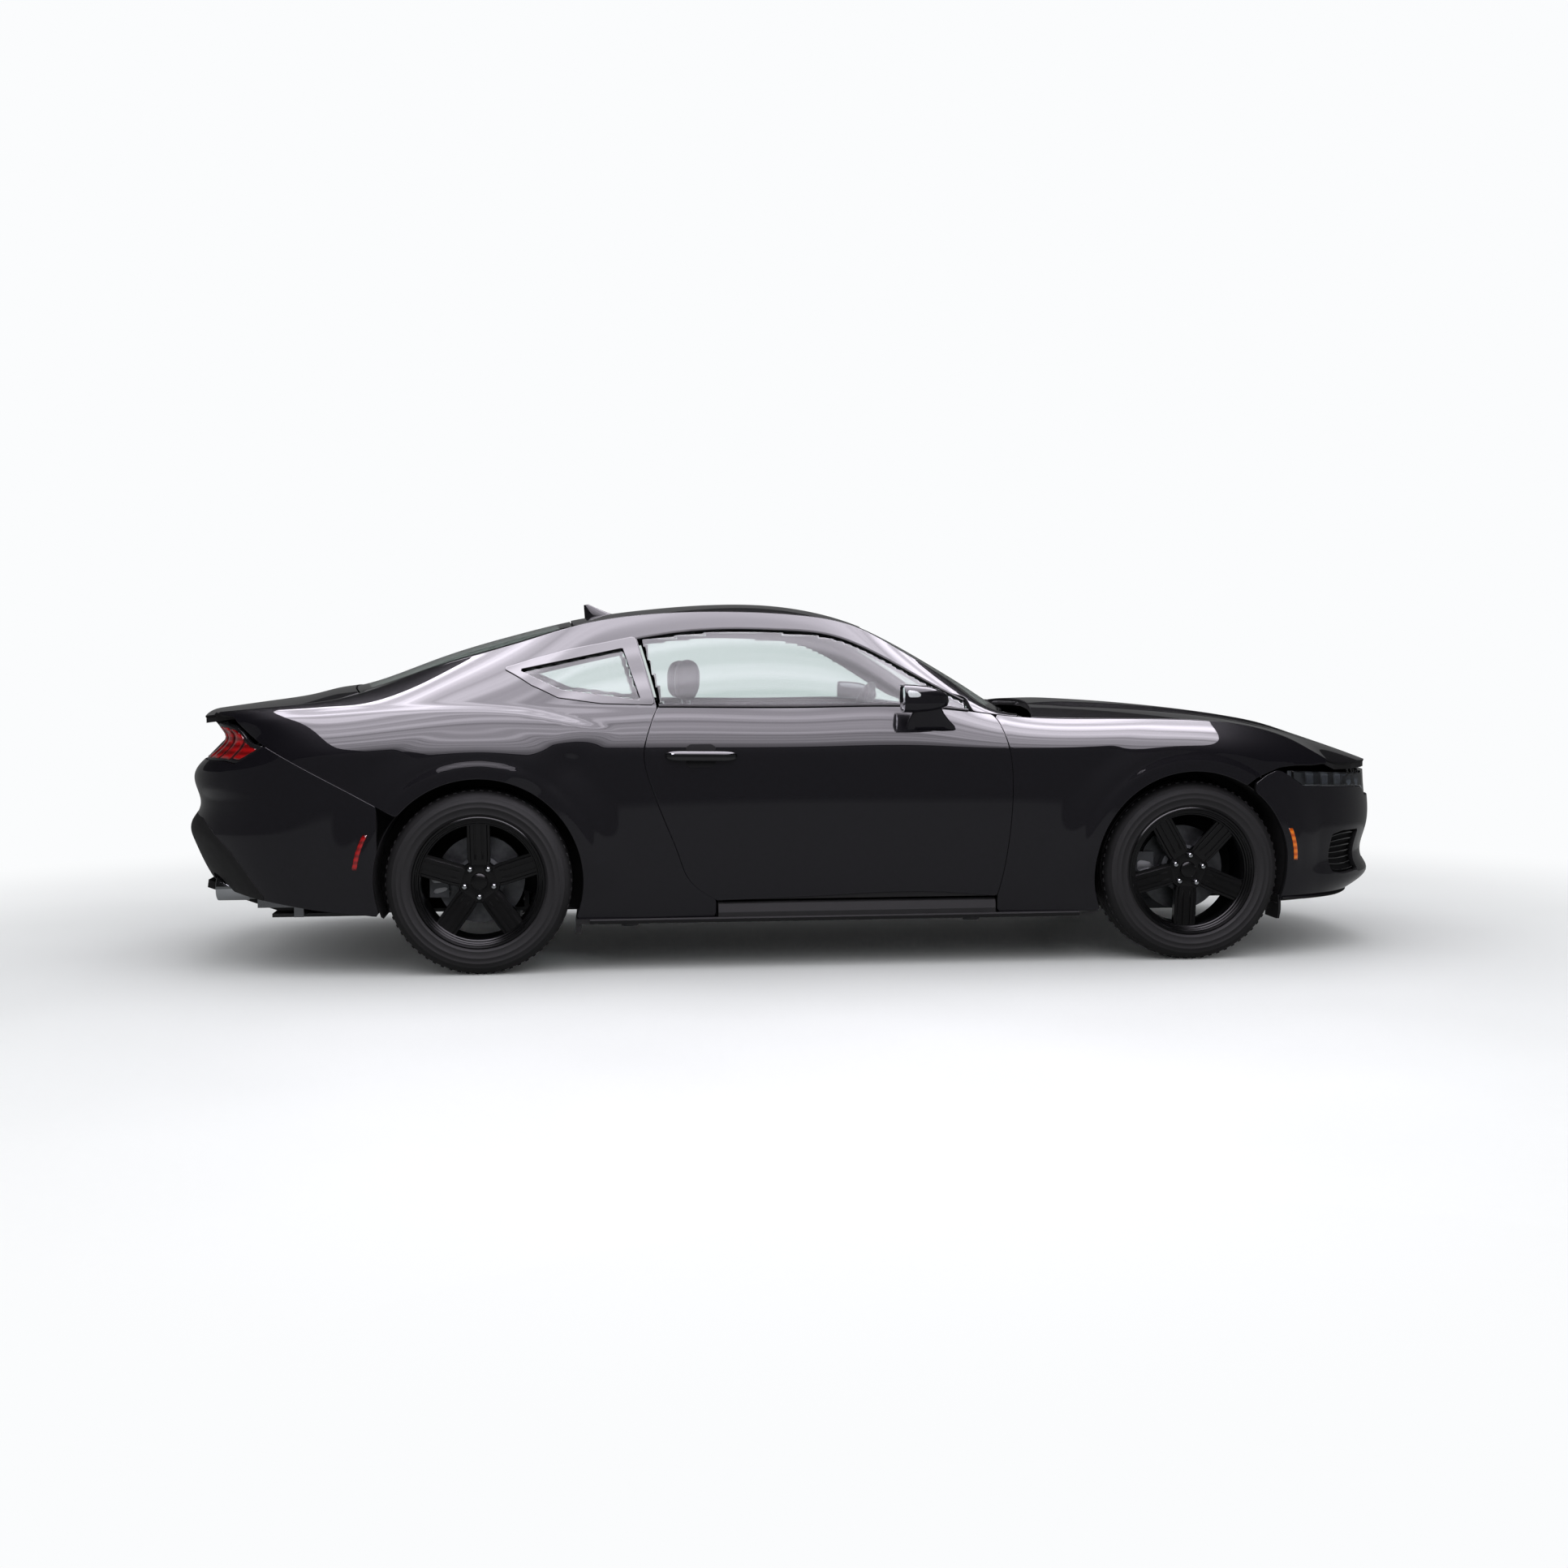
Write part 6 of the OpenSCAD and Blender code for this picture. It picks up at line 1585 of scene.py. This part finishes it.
def makeDashboard():
    d = steerSizes
    centre, normal, up = np.array(d["centre"]), np.array(d["normal"]), np.array(d["up"])
    axes = np.array([[0.0, 1.0, 0.0], up, normal])

    def place(a, b, c):
        return centre + stack(a, b, c) @ axes
    turns = np.linspace(0, 2 * math.pi, 97)[:-1]
    rows = []
    for t in turns:
        degrees = math.degrees(math.atan2(math.sin(t), math.cos(t)))
        grip = 1 + 0.12 * math.exp(-((abs(degrees - 90) - 60) / 14) ** 2)
        ring = roundRing((0, 0, 0), (1, 0, 0), (0, 1, 0), 2, 20) * d["tube"] * grip
        r = d["ring"] + ring[:, 0]
        rows.append(place(r * math.cos(t), r * math.sin(t), ring[:, 1]))
    points, faces = loft(rows + [rows[0]], False, False)
    parts = [(points, faces, 0)]
    hub = [place(*roundRing((0, 0, h), (w, 0, 0), (0, w * 0.86, 0), 3, 40).T) for w, h in d["hub"]]
    parts.append((*loft(hub), 1))
    for a, b in ((1, 0), (-1, 0), (0, -1)):
        rings = [place(*roundRing((a * r, b * r, 0), (0 if a else w, w if a else 0, 0), (0, 0, 6.5), 4, 20).T)
                 for r, w in d["spoke"]]
        parts.append((*loft(rings), 2))
    points, faces, marks = joinParts(parts)
    makePiece("steeringRim", points, faces, ["leather", "dash", "gloss"], "steering_wheel", "dash_plastic",
              ("steering_wheel",), marks, sharp=50)

    # instrument hood, screen, vents and gear lever on the dash
    rings = []
    for k in np.linspace(0, 1, 7):
        middle = (560 - 70 * k, 375, 908 + 12 * math.sin(3.1 * k))
        rings.append(roundRing(middle, (0, 165 - 14 * k * k, 0), (0, 0, 26 - 6 * k), 3, 36))
    hood = loft(rings)
    screen = loft([roundRing((x, 0, 838), (0, 118 - e, 0), (0, 0, 44 - e), 9, 36)
                   for x, e in ((474, 0), (462, 0), (459, 4))])
    face = loft([roundRing((x, 0, 838), (0, 108 - e, 0), (0, 0, 36 - e), 14, 36)
                 for x, e in ((460, 0), (457.6, 0), (457, 1))])
    vents = []
    for y in d["ventYs"]:
        vents.append((*turnedX(d["vent"], (470, y, 812)), 1))
        for z in (-16, 0, 16):
            half = math.sqrt(31 ** 2 - z * z)
            path = [[470, y - half, 812 + z], [469, y, 812 + z], [470, y + half, 812 + z]]
            vents.append((*sweepBar(path, (-1, 0, 0), d["slat"]), 1))
    lever = loft([roundRing((120 - 12 * k, 0, 534 + 92 * k), (r, 0, 0), (0, r, 0), 2.4, 24)
                  for k, r in d["lever"]])
    points, faces, marks = joinParts([(*hood, 0), (*screen, 1), (*face, 2), (*lever, 0)] + vents)
    makePiece("dashFittings", points, faces, ["dash", "gloss", "frit"], "chassis", "dash_plastic",
              marks=marks, sharp=45)


# carpeted tub under the deck lid: x, half width of the floor, floor z, half width of the rim, rim z
trunkRows = [[-1120, 560, 470, 575, 700], [-1300, 590, 455, 600, 760], [-1700, 600, 448, 615, 790],
             [-2050, 590, 448, 610, 780], [-2200, 540, 455, 565, 770], [-2262, 470, 520, 520, 765],
             [-2276, 440, 640, 470, 765]]


def makeTrunk():
    grid = []
    for x, w, low, rim, high in trunkRows:
        side = [[rim, high], [mix(w, rim, 0.6), mix(low, high, 0.55)], [w + 4, low + 60], [w - 10, low + 16],
                [w - 50, low]]
        half = [[x, y, z] for y, z in side] + [[x, y, low] for y in np.linspace(w - 120, 0, 5)]
        grid.append(half + [[x, -y, z] for x, y, z in half[-2::-1]])
    makePiece("trunkLining", *gridSheet(grid, 4, (0, 0, 1)), "carpet", "chassis", "underbody", sharp=50)


# turned piece whose axle lies along x at a place
def turnedX(rows, place, segments=40):
    points, faces = turned(rows, segments, True)
    return np.stack([-points[:, 1], points[:, 0], points[:, 2]], 1) + np.asarray(place, float), faces


makeWheels()
makeLiners()
print("wheels made")
makeLamps()
makeMirrors()
makeHandles()
makeSideTrim()
makeLowTrim()
makeTopTrim()
makeCalipers()
print("lamps and trim made")
makeSeats()
makeDashboard()
makeTrunk()
print("cabin made")


# plain finishes for the solids
solidFinish = {
    "floor_pan": "underbody", "roof_panel": "trim", "grille": "gloss", "headlamps": "lampBlack",
    "tail_lamps": "redLens", "rear_diffuser": "trim", "side_skirts": "trim", "cowl_panel": "trim",
    "wipers": "trim", "dashboard": "dash",
    "front_seats": "leather", "rear_seat": "leather", "engine": "iron", "front_subframe": "iron",
    "rear_subframe": "iron", "exhaust": "steel", "antenna_fin": "paint", "hood": "trim", "deck_lid": "trim",
    "door_left": "trim", "handle_left": "gloss", "mirror_left": "paint", "door_right": "trim",
    "handle_right": "gloss", "mirror_right": "paint", "steering_wheel": "leather", "knuckle_left": "iron",
    "knuckle_right": "iron",
}
for node, finish in solidFinish.items():
    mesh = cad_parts[node].data
    mesh.materials.clear()
    mesh.materials.append(finishes[finish])
print("solids finished")


# studio: pale floor, a soft box above, dark flags round it so that the roof and hood stay deep black
# sizes in m; wall is the strength of the walls to plain light and dim that to reflections
studio = {"box": (6.6, 17.0), "boxPlace": (0.1, -5.5, 4.8), "boxGloss": 6.0, "fill": 0.6, "flag": 16.0,
          "wall": 0.85, "dim": 0.12, "floor": 30.0, "white": "FBFCFD"}


# the box as reflections see it: dim towards the camera, bright above the car, with long soft streaks
def shadeBox(light):
    light.use_nodes = True
    tree = light.node_tree
    tree.nodes.clear()
    place = addNode(tree, "ShaderNodeNewGeometry").outputs["Position"]
    across = addNode(tree, "ShaderNodeSeparateXYZ", links={"Vector": place}).outputs["Y"]
    level = addRange(tree, across, 0.3, 1.6, -12.0, 1.0)
    long = addNode(tree, "ShaderNodeVectorMath", {"operation": "MULTIPLY"}, {1: (0.1, 1.4, 1.0)}, {0: place})
    band = addRange(tree, addNoise(tree, long.outputs["Vector"], 1000.0, 2.0), 0.55, 1.5, 0.3, 0.7)
    both = addMath(tree, "MULTIPLY", level, band)
    glow = addNode(tree, "ShaderNodeEmission", links={"Strength": both})
    addNode(tree, "ShaderNodeOutputLight", links={"Surface": glow.outputs["Emission"]})


def makeStudio():
    scene = bpy.context.scene
    scene.view_settings.view_transform = "Standard"
    world = bpy.data.worlds.new("studioWalls")
    scene.world = world
    world.use_nodes = True
    tree = world.node_tree
    tree.nodes.clear()
    rays = addNode(tree, "ShaderNodeLightPath")
    seen = addMath(tree, "MAXIMUM", rays.outputs["Is Camera Ray"], rays.outputs["Is Transmission Ray"])
    mirrored = addRange(tree, rays.outputs["Is Glossy Ray"], studio["wall"], studio["dim"])
    level = addNode(tree, "ShaderNodeMapRange", values={"To Max": 1.0},
                    links={"Value": seen, "To Min": mirrored})
    shade = addNode(tree, "ShaderNodeBackground", values={"Color": linear(studio["white"])},
                    links={"Strength": level.outputs["Result"]})
    addNode(tree, "ShaderNodeOutputWorld", links={"Surface": shade.outputs["Background"]})

    # pale floor paint that goes over into the white wall far from the car
    floorFinish = grainedFinish("paleStudioFloor", "EEEFF0", "F4F5F6", 0.5, 30.0, 0.02, dull)
    tree = floorFinish.node_tree
    paint = next(n for n in tree.nodes if n.type == "BSDF_PRINCIPLED")
    away = addNode(tree, "ShaderNodeVectorMath", {"operation": "LENGTH"}, links={
        0: next(n for n in tree.nodes if n.type == "TEX_COORD").outputs["Object"]})
    far = addNode(tree, "ShaderNodeMapRange", {"interpolation_type": "SMOOTHSTEP"},
                  {"From Min": 2.6, "From Max": 5.5}, {"Value": away.outputs["Value"]})
    glossy = addNode(tree, "ShaderNodeLightPath").outputs["Is Glossy Ray"]
    strength = addRange(tree, glossy, 1.0, studio["dim"])
    veil = addMath(tree, "MAXIMUM", far.outputs["Result"], addMath(tree, "MULTIPLY", glossy, 0.8))
    glow = addNode(tree, "ShaderNodeEmission", values={"Color": linear(studio["white"])},
                   links={"Strength": strength})
    blend = addNode(tree, "ShaderNodeMixShader", links={
        "Fac": veil, 1: paint.outputs["BSDF"], 2: glow.outputs["Emission"]})
    answer = next(n for n in tree.nodes if n.type == "OUTPUT_MATERIAL")
    tree.links.new(blend.outputs["Shader"], answer.inputs["Surface"])
    mesh = bpy.data.meshes.new("studioFloor")
    ring = roundRing((0, 0, 0), (studio["floor"], 0, 0), (0, studio["floor"], 0), 2.0, 64)
    mesh.from_pydata(ring.tolist(), [], [list(range(64))])
    mesh.materials.append(floorFinish)
    floor = bpy.data.objects.new("studioFloor", mesh)
    scene.collection.objects.link(floor)

    flagFinish = grainedFinish("blackFlagCloth", "030303", "060606", 0.95, 3.0, 0.2)
    w, d = studio["box"][0] / 2, studio["box"][1] / 2
    cx, cy, cz = studio["boxPlace"]
    f = studio["flag"]
    mesh = bpy.data.meshes.new("ceilingFlag")
    mesh.from_pydata([[cx - w, cy - d, cz], [cx + w, cy - d, cz], [cx + w, cy + d, cz], [cx - w, cy + d, cz],
                      [-f, -f, cz], [f, -f, cz], [f, f, cz], [-f, f, cz]], [],
                     [[0, 1, 5, 4], [1, 2, 6, 5], [2, 3, 7, 6], [3, 0, 4, 7]])
    mesh.materials.append(flagFinish)
    flag = bpy.data.objects.new("ceilingFlag", mesh)
    scene.collection.objects.link(flag)
    flag.visible_camera = flag.visible_diffuse = flag.visible_shadow = flag.visible_transmission = False

    for name, level, glossy in (("softBoxGloss", studio["boxGloss"], True),
                                ("softBoxFill", studio["fill"], False)):
        light = bpy.data.lights.new(name, "AREA")
        light.shape = "RECTANGLE"
        light.color = linear("F4EEFA")[:3] if glossy else (1, 1, 1)
        light.size, light.size_y = studio["box"]
        light.energy = level * math.pi * studio["box"][0] * studio["box"][1]
        lamp = bpy.data.objects.new(name, light)
        lamp.location = (cx, cy, cz + (0.02 if glossy else 0.0))
        scene.collection.objects.link(lamp)
        lamp.visible_camera = False
        lamp.visible_glossy = glossy
        lamp.visible_diffuse = not glossy
        lamp.visible_transmission = False
        if glossy:
            shadeBox(light)


# camera found from the photo: its axes in the frame, its place in m, its focal length in the photo's pixels
view = {"right": (0.99538, -0.09582, -0.00544), "up": (0.01120, 0.05976, 0.99815),
        "ahead": (0.09532, 0.99360, -0.06056), "place": (-0.81187, -8.14472, 1.13938), "focal": 2383.56,
        "width": 1932, "sensor": 36.0}


def makeCamera():
    camera = bpy.data.cameras.new("photoCamera")
    camera.sensor_fit = "HORIZONTAL"
    camera.sensor_width = view["sensor"]
    camera.lens = view["sensor"] * view["focal"] / view["width"]
    camera.clip_end = 200
    obj = bpy.data.objects.new("photoCamera", camera)
    right, up, ahead = [Vector(view[k]) for k in ("right", "up", "ahead")]
    turn = Matrix((right, up, -ahead)).transposed().to_4x4()
    obj.matrix_world = Matrix.Translation(view["place"]) @ turn
    bpy.context.scene.collection.objects.link(obj)
    bpy.context.scene.camera = obj


makeStudio()
makeCamera()
print("studio and camera set")
